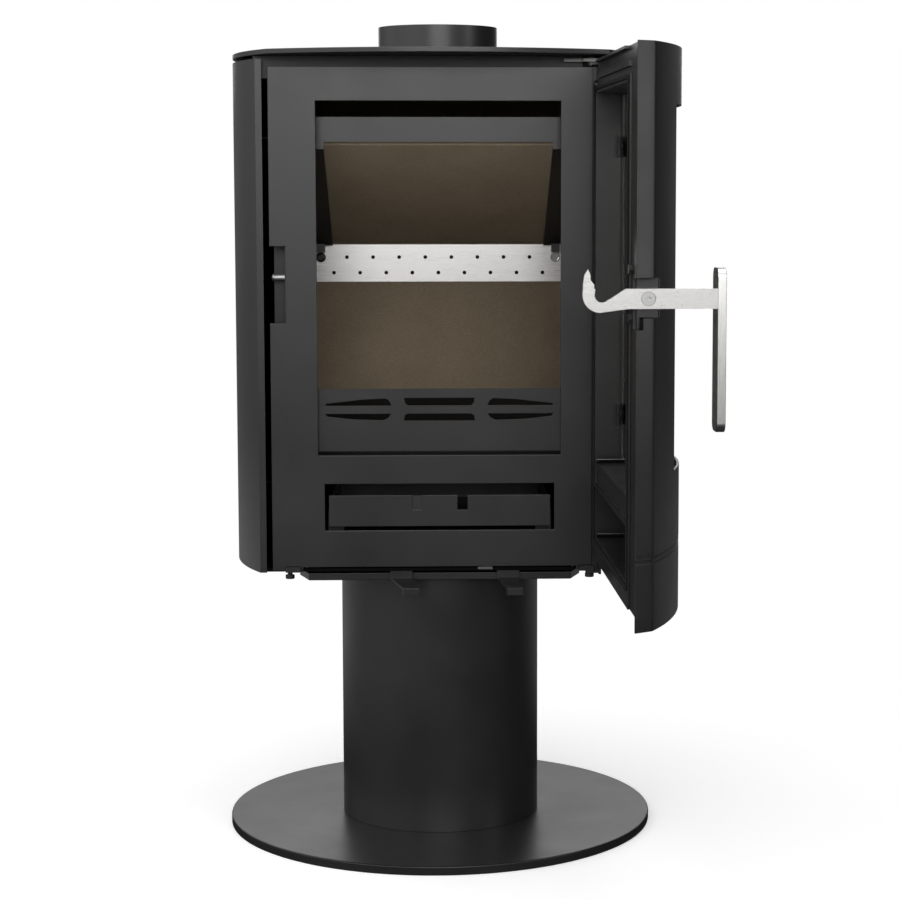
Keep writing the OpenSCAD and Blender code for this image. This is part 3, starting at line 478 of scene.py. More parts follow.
def fill_brushed(nodes: Sockets, given: Dict[str, Socket]) -> Dict[str, Socket]:
    """Long fine scratches along one direction: noise read on coordinates stretched along it.

    Args:
        nodes: the group's node helper.
        given: the group's inputs.

    Returns:
        What the group puts out.
    """
    stretched = nodes.vector("MULTIPLY", nodes.where(), given["Stretch"])
    fine = nodes.noise(stretched, 12.0, 4.0, 0.7)
    broad = nodes.noise(stretched, 1.6, 3.0, 0.5)
    tone = nodes.math("MULTIPLY", nodes.ramp(fine, 0.3, 0.7, 0.95, 1.03),
                      nodes.ramp(broad, 0.3, 0.7, 0.98, 1.02))
    rough = nodes.math("ADD", nodes.ramp(fine, 0.3, 0.7, -0.06, 0.08), given["Gloss loss"])
    return {"Color": nodes.vector("MULTIPLY", given["Color"], tone), "Roughness": rough, "Height": fine}


COAT = effect("Sprayed coat", {
    "Color": ("Color", (0.5, 0.5, 0.5, 1.0)), "Gloss loss": ("Float", 0.5),
    "Clouds": ("Float", 0.1)}, fill_coat)
BRUSHED = effect("Brushed lines", {
    "Color": ("Color", (0.5, 0.5, 0.5, 1.0)), "Gloss loss": ("Float", 0.3),
    "Stretch": ("Vector", (1.0, 1.0, 1.0))}, fill_brushed)


@dataclass(frozen=True)
class Finish:
    """What every finish has: a name, a colour, a roughness and a depth of relief."""

    name: str
    color: Color
    rough: float
    relief: float = 0.1

    def start(self) -> Tuple[bpy.types.Material, Sockets, bpy.types.Node]:
        """Make an empty material with its Principled shader.

        Returns:
            The material, a helper for its nodes and the shader node.
        """
        material = bpy.data.materials.new(self.name)
        material.use_nodes = True
        return material, Sockets(material.node_tree), material.node_tree.nodes["Principled BSDF"]

    def connect(self, nodes: Sockets, shader: bpy.types.Node, color: Socket, rough: Socket,
                height: Socket, distance: float) -> None:
        """Feed colour, roughness and relief into the shader.

        Args:
            nodes: helper of the material's nodes.
            shader: the Principled shader.
            color: the colour.
            rough: the roughness.
            height: the relief.
            distance: height in metres that a full step of the relief stands for.
        """
        bump = nodes.add("Bump", {"Height": height, "Strength": self.relief, "Distance": distance})
        nodes.feed(shader, {"Base Color": color, "Roughness": rough, "Normal": bump.outputs["Normal"]})

    def build(self) -> bpy.types.Material:
        """Make the material, in each kind of finish its own way."""
        raise NotImplementedError


@dataclass(frozen=True)
class SprayedPaint(Finish):
    """Heat-resistant paint with a fine peel and faint clouds."""

    clouds: float = 0.08
    sheen_level: float = 0.5
    peel_height: float = 0.2 * MM

    def build(self) -> bpy.types.Material:
        """Make the paint's material.

        Returns:
            The material.
        """
        material, nodes, shader = self.start()
        shader.inputs["Specular IOR Level"].default_value = self.sheen_level
        coat = nodes.add("Group", node_tree=COAT)
        nodes.feed(coat, {"Color": self.color, "Gloss loss": self.rough, "Clouds": self.clouds})
        self.connect(nodes, shader, *coat.outputs, self.peel_height)
        return material


@dataclass(frozen=True)
class BrushedMetal(Finish):
    """Bare metal with brushed lines in one direction."""

    grain: Grain = Grain.ALONG_X
    line_height: float = 0.05 * MM

    def build(self) -> bpy.types.Material:
        """Make the metal's material.

        Returns:
            The material.
        """
        material, nodes, shader = self.start()
        shader.inputs["Metallic"].default_value = 1.0
        lines = nodes.add("Group", node_tree=BRUSHED)
        nodes.feed(lines, {"Color": self.color, "Gloss loss": self.rough, "Stretch": self.grain.value})
        self.connect(nodes, shader, *lines.outputs, self.line_height)
        return material


@dataclass(frozen=True)
class PressedBoard(Finish):
    """Fire board pressed from light flakes, with painted shade below the top of the log guard.

    A band of heights can get the same painted shade, and the board can get a painted pool of light round one
    point.
    """

    pale: Color = (0.3, 0.24, 0.17, 1.0)
    painted_shade: Color = (0.009, 0.008, 0.007, 1.0)
    shade_line: Tuple[float, float] = (0.529, 0.541)
    band: Tuple[float, float] = (0.0, 0.0)
    painted_light_at: Optional[Vec] = None
    flakes: float = 900.0
    flake_height: float = 0.6 * MM

    def build(self) -> bpy.types.Material:
        """Make the board's material: small cells for the flakes, clouds for the tone, painted shade by height.

        Returns:
            The material.
        """
        material, nodes, shader = self.start()
        where = nodes.where()
        cells = nodes.add("TexVoronoi", {"Vector": where, "Scale": self.flakes})
        tone = nodes.noise(where, 14.0, 6.0, 0.65)
        fine = nodes.noise(where, 700.0, 4.0, 0.7)
        flake = nodes.add("SeparateColor", {"Color": cells.outputs["Color"]}).outputs[0]
        share = nodes.math("ADD", nodes.ramp(flake, 0.0, 1.0, 0.0, 0.55),
                           nodes.ramp(tone, 0.3, 0.7, 0.0, 0.45))
        tint = nodes.blend(share, self.color, self.pale)
        # Painted pool of light: the tint is brighter round the given point and darker away from it.
        if self.painted_light_at:
            away = nodes.vector("DISTANCE", where, self.painted_light_at, result="Value")
            tint = nodes.vector("MULTIPLY", tint, nodes.ramp(away, 0.04, 0.2, 1.3, 0.72))
        # Painted shade: below the top of the log guard, and inside the band if one is set, the board takes a
        # near-black colour for the shadow there.
        height = nodes.part(where, "Z")
        unshaded = nodes.ramp(height, *self.shade_line, 0.0, 1.0)
        if self.band[1] > self.band[0]:
            middle, half = sum(self.band) / 2, (self.band[1] - self.band[0]) / 2
            inside = nodes.math("COMPARE", height, middle, half)
            unshaded = nodes.math("SUBTRACT", unshaded, inside, use_clamp=True)
        shader.inputs["Specular IOR Level"].default_value = 0.3
        self.connect(nodes, shader, nodes.blend(unshaded, self.painted_shade, tint),
                     nodes.ramp(fine, 0.3, 0.7, self.rough - 0.06, self.rough + 0.05),
                     nodes.math("ADD", cells.outputs["Distance"], fine), self.flake_height)
        return material


@dataclass(frozen=True)
class WovenSeal(Finish):
    """Glass-fibre braid: fine fibres over the braid's own strands."""

    fibre_height: float = 0.4 * MM

    def build(self) -> bpy.types.Material:
        """Make the braid's material.

        Returns:
            The material.
        """
        material, nodes, shader = self.start()
        fibre = nodes.noise(nodes.where(), 1800.0, 5.0, 0.75)
        colour = nodes.vector("MULTIPLY", self.color[:3], nodes.ramp(fibre, 0.3, 0.7, 0.6, 1.4))
        shader.inputs["Specular IOR Level"].default_value = 0.15
        self.connect(nodes, shader, colour, nodes.ramp(fibre, 0.3, 0.7, self.rough - 0.05, self.rough),
                     fibre, self.fibre_height)
        return material


@dataclass(frozen=True)
class StoveGlass(Finish):
    """Clear heat-resistant glass with a faint warm tint and a trace of smoke."""

    def build(self) -> bpy.types.Material:
        """Make the glass material.

        Returns:
            The material.
        """
        material, nodes, shader = self.start()
        smoke = nodes.noise(nodes.where(), 7.0, 5.0, 0.6)
        smoked = tuple(0.8 * part for part in self.color[:3]) + (1.0,)
        nodes.feed(shader, {
            "Base Color": nodes.blend(nodes.ramp(smoke, 0.4, 0.8, 0.0, 0.6), self.color, smoked),
            "Roughness": nodes.ramp(smoke, 0.45, 0.8, self.rough, self.rough + 0.05)})
        shader.inputs["Transmission Weight"].default_value = 1.0
        shader.inputs["IOR"].default_value = 1.5
        return material


PAINT = SprayedPaint("Anthracite paint", (0.011, 0.011, 0.0113, 1.0), 0.33, 0.12, 0.08, 0.72)
DARK = SprayedPaint("Black hardware paint", (0.010, 0.010, 0.0105, 1.0), 0.42, 0.12, 0.12)
HEATED = SprayedPaint("Paint inside the firebox", (0.018, 0.0178, 0.0175, 1.0), 0.55, 0.2, 0.15)
BLACKED = SprayedPaint("Blackened fastener", (0.016, 0.016, 0.016, 1.0), 0.33, 0.1, 0.1)
# Near-black that stands in for shadow: painted shade on the firebox bottom's edge and under the ledge lips.
SHADE_BLACK = SprayedPaint("Near-black painted shade", (0.003, 0.003, 0.003, 1.0), 0.7, 0.1, 0.05, 0.05)
IRON = SprayedPaint("Cast iron", (0.022, 0.021, 0.02, 1.0), 0.6, 0.6, 0.2)
STRIP = BrushedMetal("Stainless air strip", (0.78, 0.765, 0.75, 1.0), 0.3, 0.15)
STEEL_X = BrushedMetal("Stainless brushed level", (0.84, 0.83, 0.81, 1.0), 0.3, 0.15)
STEEL_Z = BrushedMetal("Stainless brushed upright", (0.88, 0.87, 0.85, 1.0), 0.3, 0.15, Grain.ALONG_Z)
# A darker copy of the brushed steel: painted shade on the grip's rear face.
STEEL_SHADED = BrushedMetal("Stainless, rear of the grip", (0.3, 0.295, 0.29, 1.0), 0.4, 0.15,
                          Grain.ALONG_Z)
BRIGHT = BrushedMetal("Bright fastener", (0.6, 0.6, 0.61, 1.0), 0.2, 0.05)
ZINC = BrushedMetal("Zinc-plated screw", (0.6, 0.6, 0.59, 1.0), 0.38, 0.05)
PIN = BrushedMetal("Zinc-plated pin", (0.9, 0.9, 0.89, 1.0), 0.5, 0.05)
BRACKET = BrushedMetal("Dull steel bracket", (0.2, 0.2, 0.195, 1.0), 0.45, 0.05)
# Painted shade: every board turns near-black below the top of the log guard.
BOARD = PressedBoard("Fire board", (0.20, 0.155, 0.105, 1.0), 0.85, 0.3, (0.29, 0.23, 0.16, 1.0))
# The back board also gets painted shade in the band behind the air strip, and a painted pool of light low in the
# middle.
BACK_BOARD = PressedBoard("Fire board behind the air strip", BOARD.color, 0.85, 0.3, BOARD.pale,
                          band=(0.686, 0.73), painted_light_at=(-0.03, 0.14, 0.55))
BAFFLE = PressedBoard("Baffle board", (0.155, 0.12, 0.08, 1.0), 0.85, 0.3, (0.22, 0.175, 0.12, 1.0))
ROPE = WovenSeal("Woven seal", (0.012, 0.012, 0.0115, 1.0), 0.95, 0.4)
GLASS = StoveGlass("Stove glass", (0.93, 0.92, 0.88, 1.0), 0.02)


@lru_cache(maxsize=None)
def material_of(finish: Finish) -> bpy.types.Material:
    """Give the material of a finish, built at its first use.

    Args:
        finish: the finish.

    Returns:
        Its material.
    """
    return finish.build()


# ---- What each sub-assembly does with its pieces ----


def keep(piece: bpy.types.Object, finish: Finish, node: str, replace: bool = True) -> None:
    """Dress a new piece and let it stand for, or ride beside, a CAD node.

    Args:
        piece: the new piece.
        finish: its finish.
        node: the CAD node whose body it takes.
        replace: hides the node behind the piece.
    """
    record = frame["record"]
    groups, subparts = record["behaviour"]["bodies"], record["subparts"]
    piece.data.materials.clear()
    piece.data.materials.append(material_of(finish))
    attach(piece, next(body for body, members in groups.items() if node in members))
    if replace:
        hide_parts(node)
    LOG.info("piece %s with %d faces", piece.name, len(piece.data.polygons))


def block(low: Vec, high: Vec) -> Surface:
    """Make a block between two opposite corners.

    Args:
        low, high: its lowest and highest corner.

    Returns:
        Its points and faces.
    """
    x, y, z = zip(low, high)
    points = np.stack(np.meshgrid(x, y, z, indexing="ij"), axis=-1).reshape(-1, 3)
    return points, [[0, 1, 3, 2], [4, 6, 7, 5], [0, 4, 5, 1], [2, 3, 7, 6], [0, 2, 6, 4], [1, 5, 7, 3]]


def cut_out(mesh: bpy.types.Mesh, low: Vec, high: Vec) -> bpy.types.Mesh:
    """Cut a block out of a mesh.

    Args:
        mesh: the mesh.
        low, high: lowest and highest corner of the block.

    Returns:
        A new mesh without the block.
    """
    blank = bpy.data.objects.new("blank", mesh)
    bpy.context.scene.collection.objects.link(blank)
    cutter = new_piece("cutter", *block(low, high))
    cut = blank.modifiers.new("Cut", "BOOLEAN")
    cut.object = cutter
    cut.solver = "EXACT"
    evaluated = blank.evaluated_get(bpy.context.evaluated_depsgraph_get())
    result = bpy.data.meshes.new_from_object(evaluated)
    for helper in (blank, cutter):
        bpy.data.objects.remove(helper)
    return result


def softened(nodes: str, finish: Finish, width: float, segments: int = 2,
             without: Optional[Tuple[Vec, Vec]] = None) -> bpy.types.Object:
    """Copy CAD nodes and break their sharp edges, as sheet and bar edges are on the real stove.

    Args:
        nodes: the CAD nodes, with spaces between.
        finish: finish of the copies.
        width: width of the broken edges.
        segments: faces across a broken edge.
        without: opposite corners of a block that is cut out of the copies.

    Returns:
        The last copy; each one replaces its node.
    """
    flat_turn, shade_turn, bevel_turn = (math.radians(turn) for turn in (0.6, 28.0, 35.0))
    for node in nodes.split():
        mesh = frame["nodes"][node].data.copy()
        if without:
            mesh = cut_out(mesh, *without)
        work = bmesh.new()
        work.from_mesh(mesh)
        bmesh.ops.remove_doubles(work, verts=work.verts, dist=2e-6)
        bmesh.ops.dissolve_limit(work, angle_limit=flat_turn, verts=work.verts, edges=work.edges)
        sharpen(work, shade_turn)
        work.to_mesh(mesh)
        work.free()
        mesh.materials.clear()
        piece = bpy.data.objects.new(f"{node}_soft", mesh)
        bpy.context.scene.collection.objects.link(piece)
        bevel = piece.modifiers.new("Broken edges", "BEVEL")
        bevel.limit_method = "ANGLE"
        bevel.angle_limit = bevel_turn
        bevel.width = width
        bevel.segments = segments
        bevel.use_clamp_overlap = True
        bevel.harden_normals = True
        keep(piece, finish, node)
    return piece


@dataclass(frozen=True)
class ScrewHead:
    """A domed screw head with a six-sided socket."""

    radius: float
    height: float
    socket: float
    depth: float
    fall: float = 0.35

    def mesh(self, seat: Vec, axis: Vec) -> Surface:
        """Build the head on its seat.

        The profile runs from the socket's floor up its wall, over a dome that falls as
        the square of the distance from the axis, and down the flank to the seat:
        z = height (1 - fall (r / radius)^2).

        Args:
            seat: centre of the face it sits on.
            axis: direction out of the seat.

        Returns:
            Its points and faces.
        """
        lead, flank = 0.15 * MM, 0.2 * MM
        run = np.linspace(self.socket * 1.25, self.radius * 0.97, 7)
        crown = self.height * (1.0 - self.fall * (run / self.radius) ** 2)
        floor = crown[0] - self.depth
        radius = np.concatenate([[ON_AXIS, -self.socket, -self.socket, -self.socket * 1.08], run,
                                 [self.radius, self.radius, ON_AXIS]])
        height = np.concatenate([[floor, floor, crown[0] - lead, crown[0]], crown,
                                 [crown[-1] - flank, 0.0, 0.0]])
        points, faces = revolve(radius, height, 48, 6)
        return turned(points, axis) + np.array(seat), faces


@dataclass
class Pedestal:
    """Floor plate, column and deck plate."""

    edge: float = 0.8 * MM

    def build(self) -> None:
        """Dress the pedestal's nodes and break their edges."""
        softened("base_plate", PAINT, self.edge)
        softened("pedestal_column", PAINT, self.edge / 2)
        softened("support_plate", PAINT, self.edge)
        softened("body_spacers", DARK, self.edge / 2)
        softened("column_bolts", BLACKED, self.edge / 2)


@dataclass
class Shell:
    """Outer panels, top plate, flue collar and their fasteners."""

    sheet_edge: float = 0.5 * MM
    plate_edge: float = 0.9 * MM
    screw: ScrewHead = ScrewHead(4.2 * MM, 2.6 * MM, 1.5 * MM, 1.4 * MM)
    screw_inset: float = 4.0 * MM

    def build(self) -> None:
        """Dress the shell and put real heads on the screws of the back panel."""
        softened("side_panel_left side_panel_right back_panel", PAINT, self.sheet_edge)
        softened("top_plate flue_collar", PAINT, self.plate_edge)
        softened("top_rail top_spacers panel_brackets", DARK, self.sheet_edge)
        softened("collar_bolts", BLACKED, self.sheet_edge)
        low, high = (np.array(corner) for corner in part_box("back_screws"))
        low_at, high_at = low + self.screw_inset, high - self.screw_inset
        heads = [self.screw.mesh((x, low[1], z), (0.0, 1.0, 0.0))
                 for x in (low_at[0], high_at[0]) for z in np.linspace(low_at[2], high_at[2], 3)]
        keep(new_piece("back_panel_screws", *joined(heads)), BLACKED, "back_screws")


@dataclass
class Firebox:
    """Steel box, linings, baffles, grate and the pieces in front of the fire."""

    plate_edge: float = 0.7 * MM
    board_edge: float = 1.6 * MM
    grate_edge: float = 1.5 * MM
    notch_half: float = 166.0 * MM
    notch_rise: float = 4.2 * MM
    closer_lap: float = 4.5 * MM
    closer_reach: float = 13.0 * MM
    closer_sheet: float = 1.5 * MM
    clip_x: Tuple[float, float] = (46.0 * MM, 64.0 * MM)
    clip_deep: float = 2.0 * MM
    clip_rise: Tuple[float, float] = (0.3 * MM, 3.4 * MM)
    bolt_radius: float = 6.5 * MM
    pin_dome: float = 1.6 * MM

    def build(self) -> None:
        """Dress the firebox and everything that it holds."""
        softened("firebox_left firebox_right firebox_back firebox_top floor_plate ash_shelf",
                   HEATED, self.plate_edge)
        # The firebox bottom is near-black as painted shade where its front edge shows through the notch.
        softened("firebox_bottom", SHADE_BLACK, self.plate_edge)
        self.front()
        softened("brick_left brick_right brick_floor", BOARD, self.board_edge, 3)
        softened("brick_back", BACK_BOARD, self.board_edge, 3)
        softened("baffle_board", BAFFLE, self.plate_edge)
        softened("baffle_frame", PAINT, self.plate_edge / 2)
        softened("upper_baffle", DARK, self.plate_edge)
        softened("grate", IRON, self.grate_edge, 3)
        softened("log_guard", PAINT, self.plate_edge / 2)
        softened("air_strip", STRIP, self.plate_edge / 3)
        softened("drawer_runners", DARK, self.plate_edge)
        softened("latch_keeper", PAINT, self.plate_edge)
        self.strip_bolts()
        self.keeper_pin()

    def front(self) -> None:
        """The front plate, cut out over the levers, with a strip at its hinge side and a clip."""
        low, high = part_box("front_plate")
        notch = ((-self.notch_half, low[1] - MM, low[2] - MM),
                 (self.notch_half, high[1] + MM, low[2] + self.notch_rise))
        softened("front_plate", PAINT, self.plate_edge, without=notch)
        closer = block((high[0] - self.closer_lap, high[1], low[2] - MM),
                       (high[0] + self.closer_reach, high[1] + self.closer_sheet, high[2]))
        keep(new_piece("hinge_gap_closer", *closer), PAINT, "front_plate", replace=False)
        clip = block((self.clip_x[0], high[1] - self.clip_deep, low[2] + self.clip_rise[0]),
                     (self.clip_x[1], high[1], low[2] + self.clip_rise[1]))
        keep(new_piece("lever_clip", *clip), BRACKET, "lever_guides", replace=False)

    def strip_bolts(self) -> None:
        """Two bolts that hold the air strip on the back brick, one domed and one flat; the left one black and the
        right one bright are painted shade and painted reflection.
        """
        low, high = (np.array(corner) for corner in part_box("strip_bolts"))
        radius = self.bolt_radius
        seat_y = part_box("air_strip")[0][1]
        z = (low[2] + high[2]) / 2
        domed = ScrewHead(radius, seat_y - low[1], 2.6 * MM, 2.4 * MM)
        flat = ScrewHead(radius, 2.0 * MM, 4.0 * MM, 0.6 * MM, 0.02)
        # The two bolts differ in finish only as painted shade on the left and painted reflection on the right.
        for side, head, x, finish in (("left", domed, low[0] + radius, BLACKED),
                                      ("right", flat, high[0] - radius, BRIGHT)):
            mesh = head.mesh((x, seat_y, z), (0.0, -1.0, 0.0))
            keep(new_piece(f"air_strip_bolt_{side}", *mesh), finish, "strip_bolts")

    def keeper_pin(self) -> None:
        """The keeper pin: a turned bar with a domed free end."""
        low, high = (np.array(corner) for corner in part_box("latch_pin"))
        radius, length = (high[2] - low[2]) / 2, high[0] - low[0]
        dome = np.radians(np.linspace(0.0, 80.0, 7))
        r = np.concatenate([[ON_AXIS, radius], radius * np.cos(dome), [ON_AXIS]])
        z = np.concatenate([[0.0, 0.0], length + self.pin_dome * (np.sin(dome) - 1.0), [length]])
        points, faces = revolve(r, z, 48)
        points = turned(points, (-1.0, 0.0, 0.0)) + np.array([high[0], *(low[1:] + high[1:]) / 2])
        keep(new_piece("keeper_pin_turned", points, faces), PIN, "latch_pin")


@dataclass
class HingeSide:
    """Brackets and pins on the body that the door hangs on."""

    edge: float = 0.5 * MM

    def build(self) -> None:
        """Dress the brackets and pins."""
        softened("hinge_bracket_lower hinge_pins", DARK, self.edge)
        softened("hinge_bracket_upper", BRACKET, self.edge)


@dataclass
class AshAndAir:
    """Ash drawer and the two air levers."""

    edge: float = 0.5 * MM
    wall: float = 1.5 * MM
    flap_x: Tuple[float, float] = (-34.0 * MM, -21.2 * MM)
    flap_drop: Tuple[float, float] = (19.0 * MM, 0.5 * MM)

    def build(self) -> None:
        """Dress the drawer, close its left notch with a flap and dress the levers."""
        softened("ash_drawer", PAINT, self.edge)
        low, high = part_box("ash_drawer")
        flap = block((self.flap_x[0], low[1] + self.wall, high[2] - self.flap_drop[0]),
                     (self.flap_x[1], low[1] + 2 * self.wall, high[2] - self.flap_drop[1]))
        keep(new_piece("drawer_notch_flap", *flap), PAINT, "ash_drawer", replace=False)
        softened("primary_air_lever secondary_air_lever", PAINT, self.edge)
        softened("lever_guides", DARK, self.edge)


@dataclass
class Door:
    """Skin, inner frame, glass, seals, hinge straps and their screws."""

    sheet_edge: float = 0.6 * MM
    rim: float = 5.0 * MM
    rim_share: float = 0.45
    rim_corner: float = 4.0 * MM
    rim_pitch: float = 3.0 * MM
    cross_rise: float = 89.3 * MM
    glass_inset: float = 12.0 * MM
    glass_corner: float = 10.0 * MM
    bow_radius: float = 419.5 * MM
    bow_centre: float = 198.0 * MM
    glass_braid: Vec = (14.0 * MM, 4.8 * MM, 5.0 * MM)
    ledges: Tuple[float, float] = (29.0 * MM, 119.0 * MM)
    lip_edge: float = 0.9 * MM
    lip_tall: float = 4.2 * MM
    lip_sunk: float = 0.2 * MM
    lip_inset: float = 22.0 * MM
    lip_run: float = 34.0 * MM
    strap_head: ScrewHead = ScrewHead(4.7 * MM, 4.6 * MM, 1.9 * MM, 2.2 * MM)
    strap_sheet: float = 5.0 * MM
    strap_pitch: float = 17.5 * MM
    clip_head: ScrewHead = ScrewHead(4.6 * MM, 2.2 * MM, 1.8 * MM, 1.3 * MM)

    def build(self) -> None:
        """Dress the door."""
        softened("door_skin door_apron door_frame hinge_strap_upper hinge_strap_lower latch_bracket",
                   PAINT, self.sheet_edge)
        softened("glass_clips", DARK, self.sheet_edge)
        softened("door_glass", GLASS, self.sheet_edge)
        self.frame_seal()
        self.glass_seal()
        self.strap_screws()
        self.clip_screws()
        self.ledge_lips_with_painted_shade()

    def keep_on_door(self, name: str, parts: Sequence[Surface], finish: Finish, node: str,
                     smooth: float = 40.0, replace: bool = True) -> None:
        """Join parts that were worked out on the closed door and swing them to the open door.

        Args:
            name: name of the piece.
            parts: points and faces of each part.
            finish: its finish.
            node: the CAD node whose body it takes.
            smooth: edges that turn by more degrees than this stay sharp.
            replace: hides the node behind the piece.
        """
        points, faces = joined(parts)
        keep(new_piece(name, swung(points), faces, smooth), finish, node, replace)

    def ledge_lips_with_painted_shade(self) -> None:
        """A low lip by the hinge on each ledge of the frame: a steel rod as a painted highlight over a near-black
        block as painted shadow.
        """
        end = self.closed_box("glass_clips")[1][0] - self.lip_inset
        start = self.closed_box("door_gasket")[0][1]
        foot = self.closed_box("door_frame")[0][2]
        r, tall = self.lip_edge, self.lip_tall
        rod = revolve(np.array([ON_AXIS, r, r, ON_AXIS]),
                      np.array([0.0, 0.0, self.lip_run, self.lip_run]), 24)
        along = turned(rod[0], (0.0, -1.0, 0.0))
        edges, shade_blocks = [], []
        for level in (foot + rise for rise in self.ledges):
            edges.append((along + np.array([end, start, level + tall]), rod[1]))
            shade_blocks.append(block((end - r, start - self.lip_run, level - self.lip_sunk),
                               (end + r, start, level + tall)))
        # The rods' steel finish is a painted highlight, and the near-black blocks under them are a painted shadow.
        self.keep_on_door("ledge_highlight_rods", edges, BRACKET, "door_frame", replace=False)
        self.keep_on_door("ledge_lips_with_painted_shade", shade_blocks, SHADE_BLACK, "door_frame", replace=False)

    def closed_box(self, node: str) -> Tuple[Array, Array]:
        """Give the box of a door node as it is with the door closed.

        Args:
            node: the CAD node.

        Returns:
            Its lowest and its highest corner.
        """
        mesh = frame["nodes"][node].data
        points = np.empty(len(mesh.vertices) * 3)
        mesh.vertices.foreach_get("co", points)
        closed = swung(points.reshape(-1, 3), -DOOR_ANGLE)
        return closed.min(axis=0), closed.max(axis=0)

    def frame_seal(self) -> None:
        """The flat braid round the inner frame's rim, with its cross strip."""
        low, high = self.closed_box("door_gasket")
        step, inset = 0.8 * MM, self.rim / 2
        thick = (high[1] - low[1]) * self.rim_share
        y = low[1] + thick / 2
        line = closed_loop(low[::2] + inset, high[::2] - inset, self.rim_corner, step)
        path = np.stack([line[:, 0], np.full(len(line), y), line[:, 1]], axis=-1)
        out = np.tile([0.0, 1.0, 0.0], (len(path), 1))
        ring = braid(path, np.cross(out, tangents(path)), out, self.rim, thick, self.rim_pitch, True)
        cross_z = self.closed_box("door_frame")[0][2] + self.cross_rise + inset
        x = np.arange(low[0] + self.rim, high[0] - self.rim, step)
        path = np.stack([x, np.full(len(x), y), np.full(len(x), cross_z)], axis=-1)
        side, out = (np.tile(way, (len(path), 1)) for way in ([0.0, 0.0, 1.0], [0.0, 1.0, 0.0]))
        strip = braid(path, side, out, self.rim, thick, self.rim_pitch, False)
        self.keep_on_door("rim_seal_braid", [ring, strip], ROPE, "door_gasket", 60.0)

    def glass_seal(self) -> None:
        """The braid between the skin and the glass, which follows the bow of the front."""
        low, high = self.closed_box("glass_gasket")
        line = closed_loop(low[::2] + self.glass_inset, high[::2] - self.glass_inset,
                           self.glass_corner, 1.0 * MM)
        y = self.bow_centre - np.sqrt(self.bow_radius ** 2 - line[:, 0] ** 2)
        path = np.stack([line[:, 0], y, line[:, 1]], axis=-1)
        out = np.stack([path[:, 0], path[:, 1] - self.bow_centre, np.zeros(len(path))], axis=-1)
        out /= np.linalg.norm(out, axis=1)[:, None]
        ring = braid(path, np.cross(out, tangents(path)), out, *self.glass_braid, True)
        self.keep_on_door("glass_seal_braid", [ring], ROPE, "glass_gasket", 60.0)

    def strap_screws(self) -> None:
        """Three domed screws in each hinge strap, heads towards the fire."""
        low, high = self.closed_box("strap_screws")
        x, seat, r = (low[0] + high[0]) / 2, high[1] - self.strap_sheet, self.strap_head.radius
        first = np.arange(3) * self.strap_pitch
        levels = np.concatenate([low[2] + r + first, high[2] - r - first])
        heads = [self.strap_head.mesh((x, seat, z), (0.0, 1.0, 0.0)) for z in levels]
        self.keep_on_door("strap_screw_heads", heads, BLACKED, "strap_screws")

    def clip_screws(self) -> None:
        """One domed screw on each of the four glass clips."""
        low, high = self.closed_box("clip_screws")
        y, r = (low[1] + high[1]) / 2, self.clip_head.radius
        heads = [self.clip_head.mesh((side * high[0], y, z), (-side, 0.0, 0.0))
                 for side in (-1.0, 1.0) for z in (low[2] + r, high[2] - r)]
        self.keep_on_door("clip_screw_heads", heads, BLACKED, "clip_screws")


@dataclass
class Latch:
    """Latch arm, grip bar, pivot screw and the bolts of their bracket."""

    arm_edge: float = 0.9 * MM
    bar_edge: float = 0.8 * MM
    screw_edge: float = 0.3 * MM
    bolt_edge: float = 0.4 * MM
    rear_normal: float = -0.9

    def build(self) -> None:
        """Dress the latch; the grip's rear, which faces left, gets a darker copy of the steel as painted shade."""
        softened("latch_arm", STEEL_X, self.arm_edge, 3)
        bar = softened("grip_bar", STEEL_Z, self.bar_edge, 3)
        bar.data.materials.append(material_of(STEEL_SHADED))
        normals = np.empty(len(bar.data.polygons) * 3)
        bar.data.polygons.foreach_get("normal", normals)
        rear = normals[::3] < self.rear_normal
        bar.data.polygons.foreach_set("material_index", rear.astype(np.int32))
        softened("pivot_screw", ZINC, self.screw_edge)
        softened("latch_bolts", BLACKED, self.bolt_edge)


# ---- Studio ----


